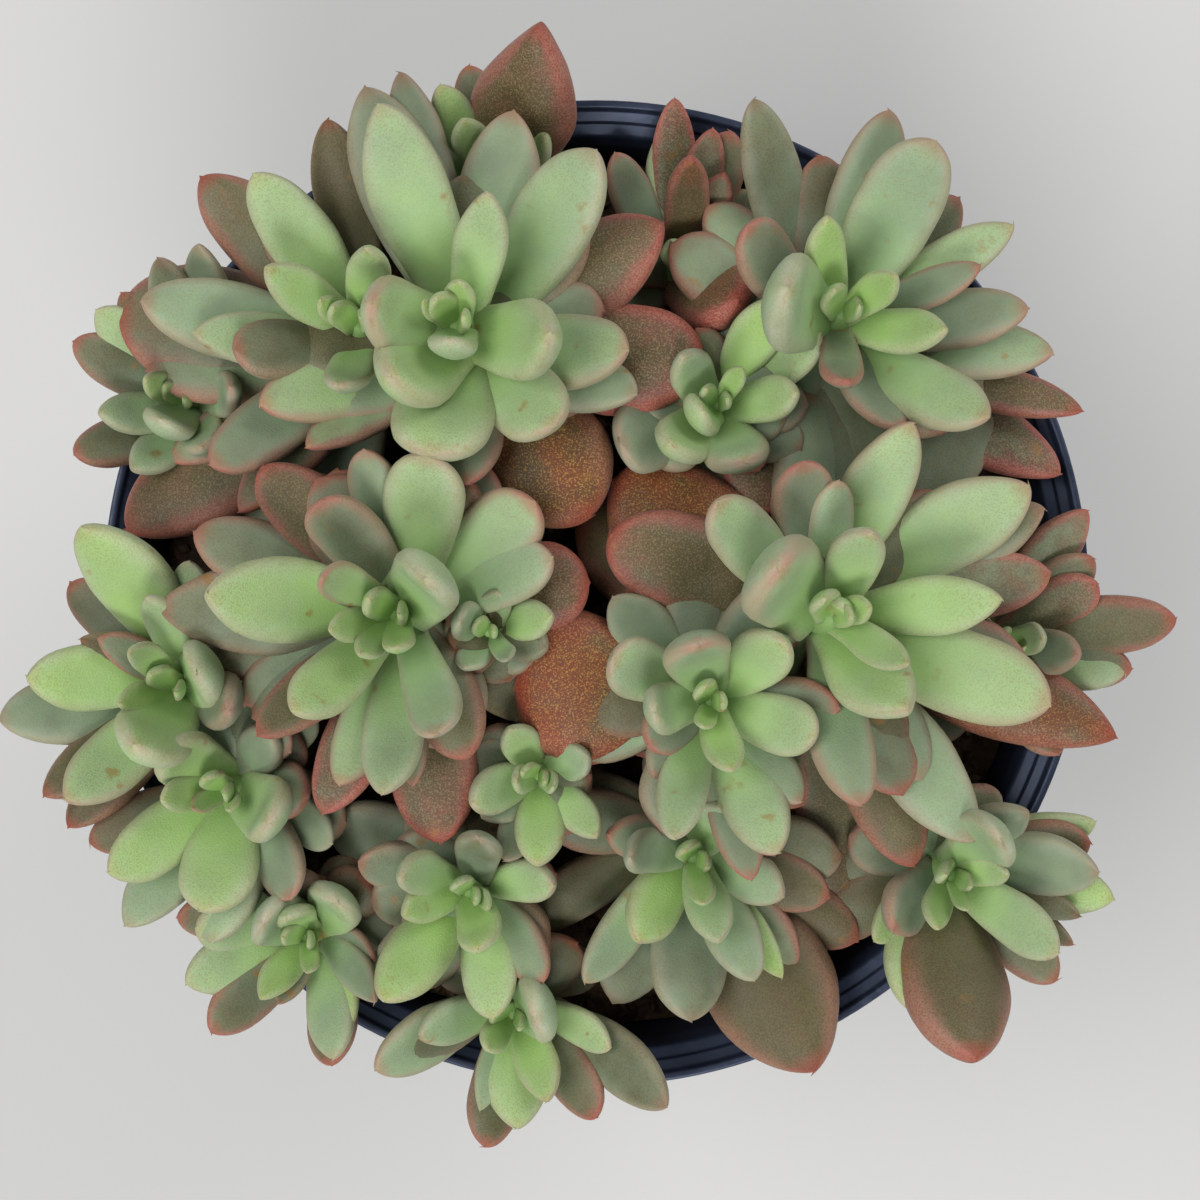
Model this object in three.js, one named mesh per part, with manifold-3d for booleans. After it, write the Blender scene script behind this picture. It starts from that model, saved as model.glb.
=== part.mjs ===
// Potted echeveria: a crowded clump of succulent rosettes in a round nursery pot.
// Millimetres, +Z up. The origin is the middle of the pot's foot, where it rests.

import * as THREE from "three";
import { mergeVertices } from "three/addons/utils/BufferGeometryUtils.js";
import Module from "manifold-3d";

// Driving dimensions of the pot
const POT_HEIGHT = 108;
const RIM_RADIUS = 70.5;
const FOOT_RADIUS = 52;
const WALL = 1.5;
const COLLAR_HEIGHT = 12;
const COLLAR_STEP = 3.6;
const RIM_LIP_WIDTH = 1.1;
const RIM_BAND_WIDTH = 3.6;
const RIM_BAND_DROP = 3.0;
const FLOOR_TOP = 4.6;
const FOOT_RECESS = 3;
const FOOT_RING_WIDTH = 6;
const PAD_RADIUS = 14;
const EDGE_CHAMFER = 2;
const DRAIN_COUNT = 8;
const DRAIN_RADIUS = 4;
const DRAIN_CIRCLE = 31;
const POT_SIDES = 32;

// The potting mix
const SOIL_DROP = 12;
const SOIL_DOME = 3;
const GAP = 0.3;

// How the clump was read: from an eye straight above the pot, looking down on the rim
const EYE_ABOVE_RIM = 300;

// How a rosette is built
const STEM_SIDES = 6;
const STEM_DEPTH = 22;
const STEM_FOOT_PULL = 0.8;
const LEAN_PER_MM = 0.0045;
const CROWN_DROP_PER_STEM = 2.2;
const BIG_STEM = 3.6;
// How a stem leaves the mix and meets its crown, as shares of its length
const STEM_RISE = 0.4;
const STEM_CURL = 0.3;
// Where the stem's rings lie along its path, from the crown to the foot, and their radii as
// shares of the stem's: the top swells into the dense heart that the leaves stand out of
const STEM_RINGS = [[1, 0], [0.97, 1.15], [0.88, 1.9], [0.72, 1.15], [0.36, 1], [0, 1], [0, 0]];
const SKIRT_TURNS = [-62, -4, 55];
const SKIRT_REACH = 23;
const SKIRT_LIFT = -13;
const SKIRT_WIDTH = 10;
const SKIRT_FROM_RADIUS = 20;
const SKIRT_CLEAR = 16;
const SKIRT_BEND = 14;
const SKIRT_BLUNT = 0.6;
const RIM_CLEAR = 3;
const GUARD_DEPTH = 40;

// How the leaves settle on each other until none grows through another
const SETTLE_ROUNDS = 20;
const SETTLE_STEP = 1.2;
const SETTLE_NEAR = 2.2;
const SETTLE_GAP = 0.3;
const SETTLE_RAISE = 0.35;
const SETTLE_LIMIT = 7;
const SETTLE_PER_REACH = 0.35;
const SETTLE_ALONG = [0.36, 0.48, 0.6, 0.74, 0.88, 1];
const SETTLE_SHARE = 0.4;
const SETTLE_ACROSS = [-0.8, -0.4, 0, 0.4, 0.8];
const LIFT_WEIGHT = 2.5;
const NEIGHBOUR = 6;
const KEEL_SHARE = 0.66;
const CREST_SHARE = 0.4;
const STEEPEST = 0.35;
const TIP_SHARE = 0.3;

// How a leaf is built: where it is widest and thickest along its midrib, how much of that is left
// at its foot, how thick it is for its width, and how far below the crown it starts
const WIDEST_AT = 0.56;
const WIDEST_SHIFT = 0.12;
const LEAF_FOOT = 0.46;
const SHORT_FOOT = 0.5;
const SHORT_REACH = 24;
// How its outline closes from there to the tip: how long it stays wide, and how sharply it ends,
// each for a pointed leaf and with a term for a blunt one
const TAPER_START = 1.7;
const TAPER_HOLD = 1.3;
const POINTED_END = 0.85;
const BLUNT_END = 0.4;
const THICKEST_AT = 0.45;
const THICK_FOOT = 0.6;
const THICK_PER_WIDTH = 0.28;
const THICK_EXTRA = 0.5;
const BASE_DROP_PER_REACH = 0.3;
const BASE_DROP_PER_WIDTH = 0.15;
const MIDRIB_PULL = 0.36;
// A rosette's dome: long leaves droop with the square of their reach, short ones stand in the heart
const RISE_TOP = 3;
const RISE_DROOP = 0.012;
const HEART_SLOPE = 0.9;
const HEART_DROP = 5;
// The flat-sided leaves are drawn a little wide, so that they cover what round ones would
const FACET_FILL = 1.1;
const SMALL_LEAF_REACH = 17;

// The leaf's cross section, as shares of half its width and of its thickness: keeled below,
// flat on top where it is slim, and a little raised along the middle where it is broad
const SLIM_SECTION = [[-1, 0.15], [0, -0.95], [1, 0.15]];
const BROAD_SECTION = [[-1, 0], [0, -0.85], [1, 0], [0, 0.42]];
const BROAD_FROM = 15;
// Where its rings lie along the midrib, from the tip to the base
const LEAF_RINGS = [1, 0.91, 0.64, 0.26, 0];
const SMALL_LEAF_RINGS = [1, 0.83, 0.36, 0];

// The rosettes, highest first: name, place on the rim's plane (x, y), height over the rim, stem radius,
// and each leaf's azimuth, reach, width, lift off its natural height, bend and bluntness
const HEADS = [
  ["rosette_left", -29.7, -3, 32, 3.6, [
    [172, 25.9, 11.5, 3, 10, 0.35], [179, 32.9, 13, -3, 8, 0.3], [119.5, 18.6, 9, 0, 17, 0.8],
    [76, 23.2, 11, 1, 14, 0.85], [37.5, 26.3, 11, -1, 13, 0.7], [19, 24.9, 8.5, -2, 13, 0.6],
    [45, 7, 10.5, 3, 25, 0.3], [149, 10.7, 5.5, 1, 18, 0.6], [195.5, 8.6, 4.5, 0, 14, 0.2],
    [237, 7, 4.5, 0, 17, 0.2], [282, 5, 4.5, 1, 18, 0.2], [225.5, 19.4, 8, 1, 12, 0.6],
    [268, 25.9, 8.5, 0, 11, 0.5], [293, 18.8, 7.5, 0, 16, 0.8], [255, 25.5, 7.5, -2, 11, 0.5],
    [252, 30, 9.5, -5, 11, 0.5], [223, 25.6, 8, -4, 12, 0.5], [300, 23.5, 9.5, -4, 14, 0.6],
    [277, 25, 5, -5, 12, 0.5], [282.5, 33.5, 12, -7, 12, 0.7], [129, 27.7, 10.5, -5, 13, 0.6],
    [98, 23.5, 7.5, -4, 14, 0.7], [157, 30, 10, -5, 10, 0.6], [9, 29, 13, -8.5, 13, 0.75],
  ]],
  ["rosette_right", 34.9, -3.6, 32, 3.6, [
    [68, 29.6, 9.5, 0, 11, 0.4], [36.5, 32.9, 11.5, -1, 11, 0.5], [27, 33, 9, -4, 11, 0.5],
    [5, 23.4, 8, 1, 11, 0.3], [337, 32.5, 12, -1, 11, 0.6], [336.5, 43, 13, -3, 13, 0.3],
    [301.5, 37.2, 11, -2, 10, 0.5], [305.5, 16.5, 10.5, 2, 18, 0.1], [326, 11.9, 5, 2, 14, 0.2],
    [67, 13, 7.5, 1, 18, 0.3], [145, 11, 13, 2, 25, 0.4], [137, 24, 9, 0, 16, 0.7],
    [158.5, 35, 13.5, -3, 14, 0.65], [103, 22.8, 9, -2, 16, 0.8], [90.6, 19.6, 6.5, -5, 14, 0.6],
    [277, 27, 8.5, -2, 11, 0.6], [287, 36.9, 11, -6, 11, 0.6], [271, 46, 13, -10, 8, 0.5],
    [12.6, 30.7, 9.5, -6, 12, 0.6], [45, 1.4, 5, 0, 18, 0.2], [18, 4.5, 4, 0, 16, 0.2],
    [149, 38, 18, -7, 12, 0.6],
  ]],
  ["rosette_back", -20.6, 39.6, 32, 3.6, [
    [110, 32, 11, 3, 8, 0.4], [110.5, 35, 13, -4, 8, 0.4], [74, 18, 7.5, 1, 13, 0.3],
    [49, 31.3, 12, -2, 11, 0.5], [73, 30.5, 11, -5, 11, 0.5], [351, 14.3, 11, 2, 20, 0.1],
    [348, 25.7, 10.5, -1, 12, 0.5], [336, 28.7, 9, -4, 12, 0.5], [312, 21.5, 10.5, 0, 18, 0.7],
    [277, 24, 9.5, -5, 13, 0.6], [262, 20, 13.5, 0, 14, 0.8], [226, 12.5, 12, 2, 22, 0.1],
    [172, 11.5, 10.5, 2, 24, 0.3], [265, 3.5, 6.5, 1, 24, 0.3], [80, 4.9, 4.5, 0, 15, 0.1],
    [150, 4.5, 3, 0, 15, 0.1], [206, 30.2, 9.5, -2, 11, 0.5], [222, 28, 7.5, -5, 11, 0.4],
    [24, 33, 13, -6, 10, 0.4], [103, 35.5, 8.5, -5, 8, 0.5], [306, 35, 17.5, -5, 12, 0.55],
    [350, 36.5, 15.5, -3, 10, 0.7],
  ]],
  ["rosette_front_centre", 16.9, -16, 28, 3, [
    [156, 15.9, 8.5, 0, 18, 0.8], [105, 8.5, 9, 2, 24, 0.5], [39, 13.5, 8, 1, 19, 0.5],
    [188, 8.6, 7, 1, 24, 0.5], [340, 15.2, 8, 0, 16, 0.7], [284, 9.6, 5.5, 2, 15, 0.2],
    [250, 3.6, 3, 0, 14, 0.2], [254.5, 19.9, 7, 0, 12, 0.5], [295, 23.2, 9, -1, 11, 0.5],
    [314, 18.8, 6.5, -3, 13, 0.5], [282, 25.7, 7, -5, 12, 0.5], [358, 17.8, 7.5, -3, 16, 0.6],
    [176, 28.5, 21, -4, 12, 0.75], [232, 13.5, 6.5, -5, 14, 0.3], [212, 11, 7.5, -6, 14, 0.5],
    [133, 21, 8.5, -8, 14, 0.5],
  ]],
  ["rosette_back_left", -35.1, 39.3, 26, 3.2, [
    [96, 28.6, 8.5, -4, 11, 0.5], [124, 24.6, 9.5, 0, 12, 0.5], [136.5, 29.3, 11.5, -6, 11, 0.5],
    [149, 13.8, 6.5, 2, 17, 0.2], [147, 4.9, 4, 0, 16, 0.2], [80, 10, 6, 3, 21, 0.2],
    [176, 30, 11, -1, 11, 0.5], [185.5, 22.5, 7.5, 0, 12, 0.35], [196, 17.1, 8.5, -1, 18, 0.8],
    [180, 33, 18, -6, 8, 0.75], [195, 30, 12, -7, 10, 0.6], [226, 29, 9.5, -2, 11, 0.6],
    [219, 32.8, 8.5, -6, 11, 0.5], [223, 44, 14, -9, 8, 0.6], [228, 35.5, 9.5, -7, 10, 0.4],
    [240, 32, 8.5, -6, 10, 0.4], [260, 10, 6.5, -3, 20, 0.3],
  ]],
  ["rosette_back_right", 36.3, 41.1, 25, 3.4, [
    [114, 32.4, 8.5, -1, 12, 0.5], [79.5, 28.4, 9, -2, 12, 0.6], [62, 26.4, 12, 0, 12, 0.6],
    [27.6, 26.1, 7.5, -1, 11, 0.4], [18, 19.5, 5.5, -3, 12, 0.5], [359, 25.6, 8.5, -1, 12, 0.5],
    [346, 29.9, 9, -4, 11, 0.5], [321, 25.6, 9.5, 0, 12, 0.5], [335.5, 36.5, 7, -8, 10, 0.5],
    [321.5, 38.5, 10, -8, 10, 0.5], [292, 19, 7, -3, 14, 0.5], [270, 11.2, 6, 0, 17, 0.2],
    [347, 14.3, 6.5, 1, 17, 0.2], [165, 9, 13, 3, 20, 0.3], [32, 7.7, 5, 1, 14, 0.2],
    [104, 12.9, 6, 1, 16, 0.2], [143, 18.4, 8.5, 0, 19, 0.8], [241, 34, 12.5, -6, 10, 0.6],
  ]],
  ["offset_centre", -15.7, -5.7, 23, 2.2, [
    [150, 4, 5.5, 1, 24, 0.4], [17.5, 9.8, 5.5, 1, 13, 0.1], [310, 4.9, 3, 0, 18, 0.3],
    [345, 9, 6, -4, 14, 0.2], [240, 6, 4.5, -2, 18, 0.3], [75, 6, 4.5, -2, 18, 0.2],
  ]],
  ["rosette_middle", 17.7, 27.6, 21, 2.6, [
    [61, 16.5, 7, 2, 16, 0.5], [33, 17.2, 7, 0, 13, 0.5], [8, 11.1, 6.5, 1, 18, 0.3],
    [215, 3, 6.5, 1, 24, 0.3], [53, 5.5, 3, 0, 14, 0.2], [227, 9.5, 8, 2, 25, 0.2],
    [290, 9.7, 9, 0, 22, 0.5], [200, 15.5, 10.5, -1, 24, 0.8], [130, 8, 6.5, 0, 20, 0.3],
  ]],
  ["rosette_left_edge", -61.6, -13.9, 20, 3.2, [
    [117, 26.1, 11.5, 1, 11, 0.45], [173.4, 19.8, 9.5, 0, 12, 0.4], [190.6, 24, 10.5, -4, 11, 0.4],
    [226, 21.2, 9.5, -1, 13, 0.4], [222, 23, 8.5, -4, 11, 0.4], [240, 9, 11, 2, 25, 0.2],
    [20, 5, 9.5, 1, 25, 0.5], [136, 7.3, 4.5, 1, 18, 0.2], [198, 6.8, 4.5, 0, 17, 0.2],
    [101.7, 13.4, 6.5, 1, 18, 0.2], [78, 18.7, 6.5, -4, 14, 0.6], [341, 9.5, 8.5, -1, 24, 0.2],
    [333, 20, 7, -5, 14, 0.7], [235, 24, 7.5, -8, 10, 0.5], [150, 14, 6.5, -7, 13, 0.2],
    [142, 12, 5.5, -5, 14, 0.2],
  ]],
  ["rosette_front_right", 14.6, -38.9, 19, 3, [
    [230, 13.8, 8.5, 1, 14, 0.2], [227, 23.3, 7, -3, 11, 0.5], [268, 22.3, 11, -2, 12, 0.6],
    [282, 5.6, 4, 0, 16, 0.2], [285, 11.5, 6.5, 0, 14, 0.2], [296, 18.3, 7.5, -2, 13, 0.5],
    [306, 20, 5, -3, 12, 0.4], [173, 9.6, 6.5, 1, 20, 0.4], [160, 13.7, 6.5, -3, 16, 0.2],
    [298, 34, 19, -10, 10, 0.35], [60, 9, 7.5, -3, 20, 0.3], [340, 13, 7.5, -5, 16, 0.3],
  ]],
  ["offset_front", -8.4, -26.7, 19, 2.4, [
    [199, 9.6, 6.5, 1, 17, 0.4], [190, 3, 4, 1, 18, 0.3], [340, 2.5, 3, 1, 18, 0.3],
    [271, 12.3, 7, 1, 10, 0.3], [315, 11.9, 5.5, 0, 13, 0.2], [122, 8, 5.5, 0, 17, 0.2],
    [215, 9.5, 6.5, -5, 14, 0.2], [247, 12.6, 5.5, -4, 12, 0.5], [20, 8, 5.5, -3, 18, 0.3],
  ]],
  ["rosette_left_front", -54.4, -28.9, 18, 3, [
    [145, 9, 9, 2, 25, 0.3], [185, 7.6, 5, 0, 18, 0.3], [210, 3.8, 3, 0, 18, 0.2],
    [315, 3, 3, 0, 18, 0.2], [330, 8.5, 9.5, 2, 24, 0.3], [215, 18.7, 9, 0, 12, 0.5],
    [235, 22.6, 8.5, -4, 11, 0.5], [261.6, 16.6, 11, 0, 13, 0.6], [306, 18.3, 7.5, -1, 14, 0.7],
    [338, 18.1, 6.5, -5, 13, 0.6], [270, 21, 11, -3, 11, 0.6], [50, 12, 7, -4, 18, 0.4],
  ]],
  ["rosette_front", -18.4, -43.9, 17, 2.8, [
    [162, 9.9, 6.5, 2, 22, 0.3], [10, 12.6, 6.5, 0, 16, 0.3], [194, 9.3, 5.5, 1, 16, 0.2],
    [284, 7.3, 6.5, 1, 17, 0.2], [231, 18.7, 9, 0, 12, 0.5], [283, 17.3, 8, -1, 12, 0.5],
    [160, 16.3, 7.5, -3, 13, 0.6], [312, 15.9, 7, -3, 13, 0.6], [221, 18, 6.5, -5, 12, 0.5],
    [78, 8.8, 6.5, 0, 19, 0.3], [345, 3, 3, 0, 18, 0.2],
  ]],
  ["rosette_front_right_edge", 52.4, -41.6, 16, 3, [
    [40, 8, 9.5, 2, 25, 0.5], [5.4, 19.6, 9.5, 0, 11, 0.4], [325, 16.8, 7.5, 0, 12, 0.5],
    [248, 19.4, 9, 0, 12, 0.5], [264.5, 18.9, 6.5, -2, 12, 0.5], [242, 7.3, 4.5, 0, 17, 0.2],
    [280, 3.8, 2.5, 0, 17, 0.2], [10, 6.5, 4.5, 0, 16, 0.2], [215, 12, 8.5, -2, 17, 0.3],
    [213, 15, 5.5, -5, 13, 0.5], [354, 21.7, 8.5, -5, 10, 0.4], [25, 21, 6.5, -6, 11, 0.5],
    [345, 17.5, 5.5, -5, 11, 0.3], [332, 18, 4.5, -6, 11, 0.4], [274.5, 25.4, 16, -7, 11, 0.35],
    [48, 14, 7.5, -5, 16, 0.2],
  ]],
  ["rosette_front_edge", -12.1, -61.7, 13, 2.8, [
    [270, 14.8, 9, 0, 11, 0.3], [293, 12.2, 6.5, 1, 13, 0.2], [189, 13.2, 6.5, 0, 13, 0.3],
    [199, 20.4, 8.5, -3, 11, 0.5], [16, 3.5, 9.5, 2, 25, 0.5], [348, 14.6, 5.5, 0, 13, 0.5],
    [332, 25.2, 8.5, -2, 11, 0.5], [250, 13.1, 4.5, -2, 12, 0.2], [225, 5, 4.5, 0, 18, 0.2],
  ]],
  ["rosette_front_left", -42.3, -50.3, 13, 2.8, [
    [150, 6, 8.5, 1, 24, 0.5], [45, 8, 8.5, 1, 23, 0.4], [283, 4, 3, 0, 17, 0.2],
    [285, 17, 7.5, 0, 10, 0.4], [300, 14, 5.5, -3, 12, 0.4], [320, 13.5, 5.5, -1, 13, 0.2],
    [235, 9.5, 5, 0, 14, 0.2], [350, 11, 4.5, -3, 16, 0.2], [250, 9, 4.5, -4, 14, 0.2],
    [115, 4, 5.5, 2, 20, 0.2], [170, 15, 9.5, -6, 13, 0.6], [200, 17, 8.5, -4, 12, 0.5],
  ]],
  ["offset_back_edge", -15.1, 60.4, 12, 2.4, [
    [120, 14, 6.5, 0, 12, 0.5], [117, 8, 5.5, 2, 18, 0.2], [32, 9.3, 6.5, 0, 16, 0.2],
    [70, 12, 7, -1, 12, 0.5], [160, 12, 6.5, -1, 13, 0.5], [250, 7, 6.5, 1, 20, 0.3],
    [320, 8, 6.5, 0, 18, 0.3], [71, 21.9, 15, -3, 8, -0.1],
  ]],
  ["offset_right_edge", 60.2, -7.6, 12, 2.6, [
    [62, 21.7, 7.5, 0, 11, 0.4], [37, 14.5, 7.5, 0, 13, 0.6], [10.6, 23, 8.5, 0, 10, 0.5],
    [343, 16, 7.5, -1, 12, 0.5], [350, 9, 6.5, 2, 18, 0.3], [160, 8, 6.5, 2, 20, 0.3],
    [235, 9, 6.5, 1, 18, 0.3], [20, 4, 4.5, 2, 18, 0.2],
  ]],
  ["offset_left_edge", -60, 27.9, 12, 2.6, [
    [132, 17, 7.5, 0, 12, 0.5], [193.6, 11.2, 6.5, 0, 14, 0.3], [238, 12, 6.5, 0, 14, 0.3],
    [233, 3.8, 7.5, 2, 24, 0.5], [149, 5, 4.5, 2, 17, 0.2], [98, 20, 7.5, -4, 12, 0.5],
    [81, 22, 7.5, -7, 11, 0.5], [118, 16.9, 6.5, -3, 12, 0.5], [10, 8, 6.5, 1, 19, 0.3],
    [300, 8, 6.5, 0, 18, 0.3],
  ]],
  ["rosette_back_low", 12.4, 47.9, 9, 3, [
    [93, 22.8, 6.5, 0, 12, 0.5], [77, 19, 6, 0, 12, 0.5], [84, 14.5, 6.5, 2, 16, 0.3],
    [64, 13.4, 6, -1, 14, 0.3], [99, 18.6, 6.5, -4, 12, 0.5], [123, 18, 6.5, -2, 12, 0.5],
    [322, 10, 12.5, 4, 18, 0.4], [20, 12, 7.5, -2, 17, 0.3], [170, 12, 7.5, -2, 17, 0.3],
  ]],
];

const wasm = await Module();
wasm.setup();

const smooth = (x) => THREE.MathUtils.smoothstep(x, 0, 1);
const radians = THREE.MathUtils.degToRad;

// A closed three.js geometry as a solid that can be joined and cut
function solid(geometry) {
  const bare = geometry.clone();
  bare.deleteAttribute("normal");
  bare.deleteAttribute("uv");
  const merged = mergeVertices(bare, 1e-4);
  return new wasm.Manifold(new wasm.Mesh({
    numProp: 3,
    vertProperties: new Float32Array(merged.attributes.position.array),
    triVerts: new Uint32Array(merged.index.array),
  }));
}

function geometryOf(manifold) {
  const mesh = manifold.getMesh();
  const geometry = new THREE.BufferGeometry();
  geometry.setAttribute("position", new THREE.BufferAttribute(mesh.vertProperties, 3));
  geometry.setIndex(new THREE.BufferAttribute(mesh.triVerts, 1));
  return geometry;
}

// A body of revolution about Z, from a profile of [radius, height] points
function revolved(profile, sides) {
  const points = profile.map(([radius, height]) => new THREE.Vector2(radius, height));
  return new THREE.LatheGeometry(points, sides).rotateX(Math.PI / 2);
}

// The pot: tapered wall, collar, rolled rim, a recessed floor with drain holes and a middle pad
const collarFoot = POT_HEIGHT - COLLAR_HEIGHT;
const neckRadius = RIM_RADIUS - COLLAR_STEP - 1;
const bandInner = RIM_RADIUS - RIM_LIP_WIDTH - RIM_BAND_WIDTH;

function wallRadius(height) {
  return THREE.MathUtils.mapLinear(height, 0, collarFoot, FOOT_RADIUS, neckRadius);
}

function innerRadius(height) {
  return wallRadius(height) - WALL;
}

function potProfile() {
  return [
    [0, 0],
    [PAD_RADIUS, 0],
    [PAD_RADIUS + EDGE_CHAMFER, FOOT_RECESS],
    [FOOT_RADIUS - FOOT_RING_WIDTH - EDGE_CHAMFER, FOOT_RECESS],
    [FOOT_RADIUS - FOOT_RING_WIDTH, 0],
    [FOOT_RADIUS - 1, 0],
    [wallRadius(1), 1],
    [neckRadius, collarFoot],
    [RIM_RADIUS - 1.6, collarFoot + 1.4],
    [RIM_RADIUS - 0.8, collarFoot + 2.6],
    [RIM_RADIUS, POT_HEIGHT - 1.6],
    [RIM_RADIUS - 0.2, POT_HEIGHT - 0.4],
    [RIM_RADIUS - 0.7, POT_HEIGHT],
    [RIM_RADIUS - RIM_LIP_WIDTH, POT_HEIGHT - 0.2],
    [bandInner, POT_HEIGHT - RIM_BAND_DROP],
    [bandInner - 0.9, POT_HEIGHT - RIM_BAND_DROP - 2],
    [innerRadius(collarFoot - 2), collarFoot - 2],
    [innerRadius(FLOOR_TOP + EDGE_CHAMFER), FLOOR_TOP + EDGE_CHAMFER],
    [innerRadius(FLOOR_TOP) - EDGE_CHAMFER, FLOOR_TOP],
    [0, FLOOR_TOP],
  ];
}

function pot() {
  let body = solid(revolved(potProfile(), POT_SIDES));
  for (let i = 0; i < DRAIN_COUNT; i += 1) {
    const turn = (i + 0.5) * 2 * Math.PI / DRAIN_COUNT;
    const hole = new THREE.CylinderGeometry(DRAIN_RADIUS, DRAIN_RADIUS, 4 * FLOOR_TOP, 8);
    hole.rotateX(Math.PI / 2);
    hole.translate(DRAIN_CIRCLE * Math.cos(turn), DRAIN_CIRCLE * Math.sin(turn), 0);
    body = body.subtract(solid(hole));
  }
  return body;
}

// The potting mix fills the pot to SOIL_DROP below the rim, a little higher in the middle
const soilTop = POT_HEIGHT - SOIL_DROP;

function soil() {
  const floor = FLOOR_TOP + GAP;
  const edge = innerRadius(soilTop) - GAP;
  return solid(revolved([
    [0, floor],
    [innerRadius(floor) - EDGE_CHAMFER - 2 * GAP, floor],
    [innerRadius(floor + EDGE_CHAMFER + GAP) - GAP, floor + EDGE_CHAMFER + GAP],
    [edge, soilTop],
    [edge * 0.7, soilTop + SOIL_DOME * 0.6],
    [0, soilTop + SOIL_DOME],
  ], POT_SIDES));
}

// A point seen from the eye at (x, y) on the rim's plane, but lying at a height over the rim
function lifted(x, y, height) {
  const share = (EYE_ABOVE_RIM - height) / EYE_ABOVE_RIM;
  return new THREE.Vector3(x * share, y * share, POT_HEIGHT + height);
}

// Where a rosette grows: its crown, the way it leans, and its stem down into the soil
function headFrame([name, x, y, height, stemRadius]) {
  const crown = lifted(x, y, height);
  crown.z -= CROWN_DROP_PER_STEM * stemRadius;
  const outward = new THREE.Vector3(crown.x, crown.y, 0);
  const radius = outward.length();
  outward.normalize();
  const lean = LEAN_PER_MM * radius;
  const up = new THREE.Vector3(0, 0, Math.cos(lean)).addScaledVector(outward, Math.sin(lean));
  const foot = new THREE.Vector3(crown.x * STEM_FOOT_PULL, crown.y * STEM_FOOT_PULL, soilTop - STEM_DEPTH);
  return { name, x, y, height, stemRadius, crown, outward, radius, up, foot };
}

// A three.js sphere's grid drawn out along a curve, its poles at the two ends: the solid that every
// stem and leaf is. A ring is the section's points, already placed, or one point at a pole.
function drawnOut(rings, sides) {
  const geometry = new THREE.SphereGeometry(1, sides, rings.length - 1);
  rings.forEach((ring, row) => {
    for (let i = 0; i <= sides; i += 1) {
      const point = ring[i % ring.length];
      geometry.attributes.position.setXYZ(row * (sides + 1) + i, point.x, point.y, point.z);
    }
  });
  return solid(geometry);
}

// A stem with the rosette's heart on top. It stands upright in the mix and leans above it.
function stem(head, grow) {
  const length = head.crown.distanceTo(head.foot);
  const path = new THREE.CubicBezierCurve3(
    head.foot,
    head.foot.clone().add(new THREE.Vector3(0, 0, length * STEM_RISE)),
    head.crown.clone().addScaledVector(head.up, -length * STEM_CURL),
    head.crown,
  );
  const east = new THREE.Vector3(1, 0, 0);
  const rings = STEM_RINGS.map(([t, share], ring) => {
    const centre = path.getPoint(t);
    const along = path.getTangent(t);
    if (ring === 0) centre.addScaledVector(along, grow);
    if (t === 0) centre.z -= grow;
    if (share === 0) return [centre];
    const north = new THREE.Vector3().crossVectors(along, east).normalize();
    const side = new THREE.Vector3().crossVectors(north, along).normalize();
    const radius = share * head.stemRadius + grow * 1.2;
    return Array.from({ length: STEM_SIDES }, (_, i) => {
      const turn = 2 * Math.PI * i / STEM_SIDES;
      return centre.clone().addScaledVector(side, -radius * Math.cos(turn))
        .addScaledVector(north, -radius * Math.sin(turn));
    });
  });
  return drawnOut(rings, STEM_SIDES);
}

// A leaf's half width and half thickness along its midrib, as shares of the full ones
function widthShare(t, blunt, foot) {
  const widest = WIDEST_AT + WIDEST_SHIFT * blunt;
  if (t < widest) return foot + (1 - foot) * smooth(t / widest);
  const past = (t - widest) / (1 - widest);
  const taper = 1 - Math.pow(past, TAPER_START + TAPER_HOLD * blunt);
  return Math.pow(Math.max(0, taper), POINTED_END - BLUNT_END * blunt);
}

// How wide a leaf's foot is, as a share of its full width: a short leaf clasps the stem
function footShare(reach, scale) {
  return LEAF_FOOT + SHORT_FOOT * Math.max(0, 1 - reach / (SHORT_REACH * scale));
}

function thickShare(t) {
  if (t < THICKEST_AT) return THICK_FOOT + (1 - THICK_FOOT) * smooth(t / THICKEST_AT);
  return Math.sqrt(Math.max(0, 1 - Math.pow((t - THICKEST_AT) / (1 - THICKEST_AT), 2.4)));
}

// How far over the head a leaf's tip naturally stands, by its reach
function naturalRise(reach, scale) {
  const r = reach / scale;
  return scale * Math.min(RISE_TOP - RISE_DROOP * r * r, HEART_SLOPE * r - HEART_DROP);
}

// The midrib, from the stem out and up to the tip
function midrib(head, [azimuth, reach, width, lift, bend]) {
  const scale = head.stemRadius / BIG_STEM;
  const turn = radians(azimuth);
  const flat = new THREE.Vector3(Math.cos(turn), Math.sin(turn), 0);
  const tip = lifted(
    head.x + reach * flat.x,
    head.y + reach * flat.y,
    head.height + naturalRise(reach, scale) + lift,
  );
  const out = flat.clone().addScaledVector(head.up, -flat.dot(head.up)).normalize();
  const drop = BASE_DROP_PER_REACH * reach + BASE_DROP_PER_WIDTH * width;
  const base = head.crown.clone().addScaledVector(head.up, -drop);
  const chord = tip.clone().sub(base);
  const rise = Math.atan2(chord.dot(head.up), chord.dot(out));
  const pull = chord.length() * MIDRIB_PULL;
  const aim = (angle) => (
    out.clone().multiplyScalar(Math.cos(angle)).addScaledVector(head.up, Math.sin(angle))
  );
  const curve = new THREE.CubicBezierCurve3(
    base,
    base.clone().addScaledVector(aim(rise - radians(bend)), pull),
    tip.clone().addScaledVector(aim(rise + radians(bend)), -pull),
    tip,
  );
  const side = new THREE.Vector3().crossVectors(head.up, out).normalize();
  return { curve, side };
}

// How thick a leaf is between its two faces, at its thickest
function leafThickness(width) {
  return THICK_PER_WIDTH * width + THICK_EXTRA;
}

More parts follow.
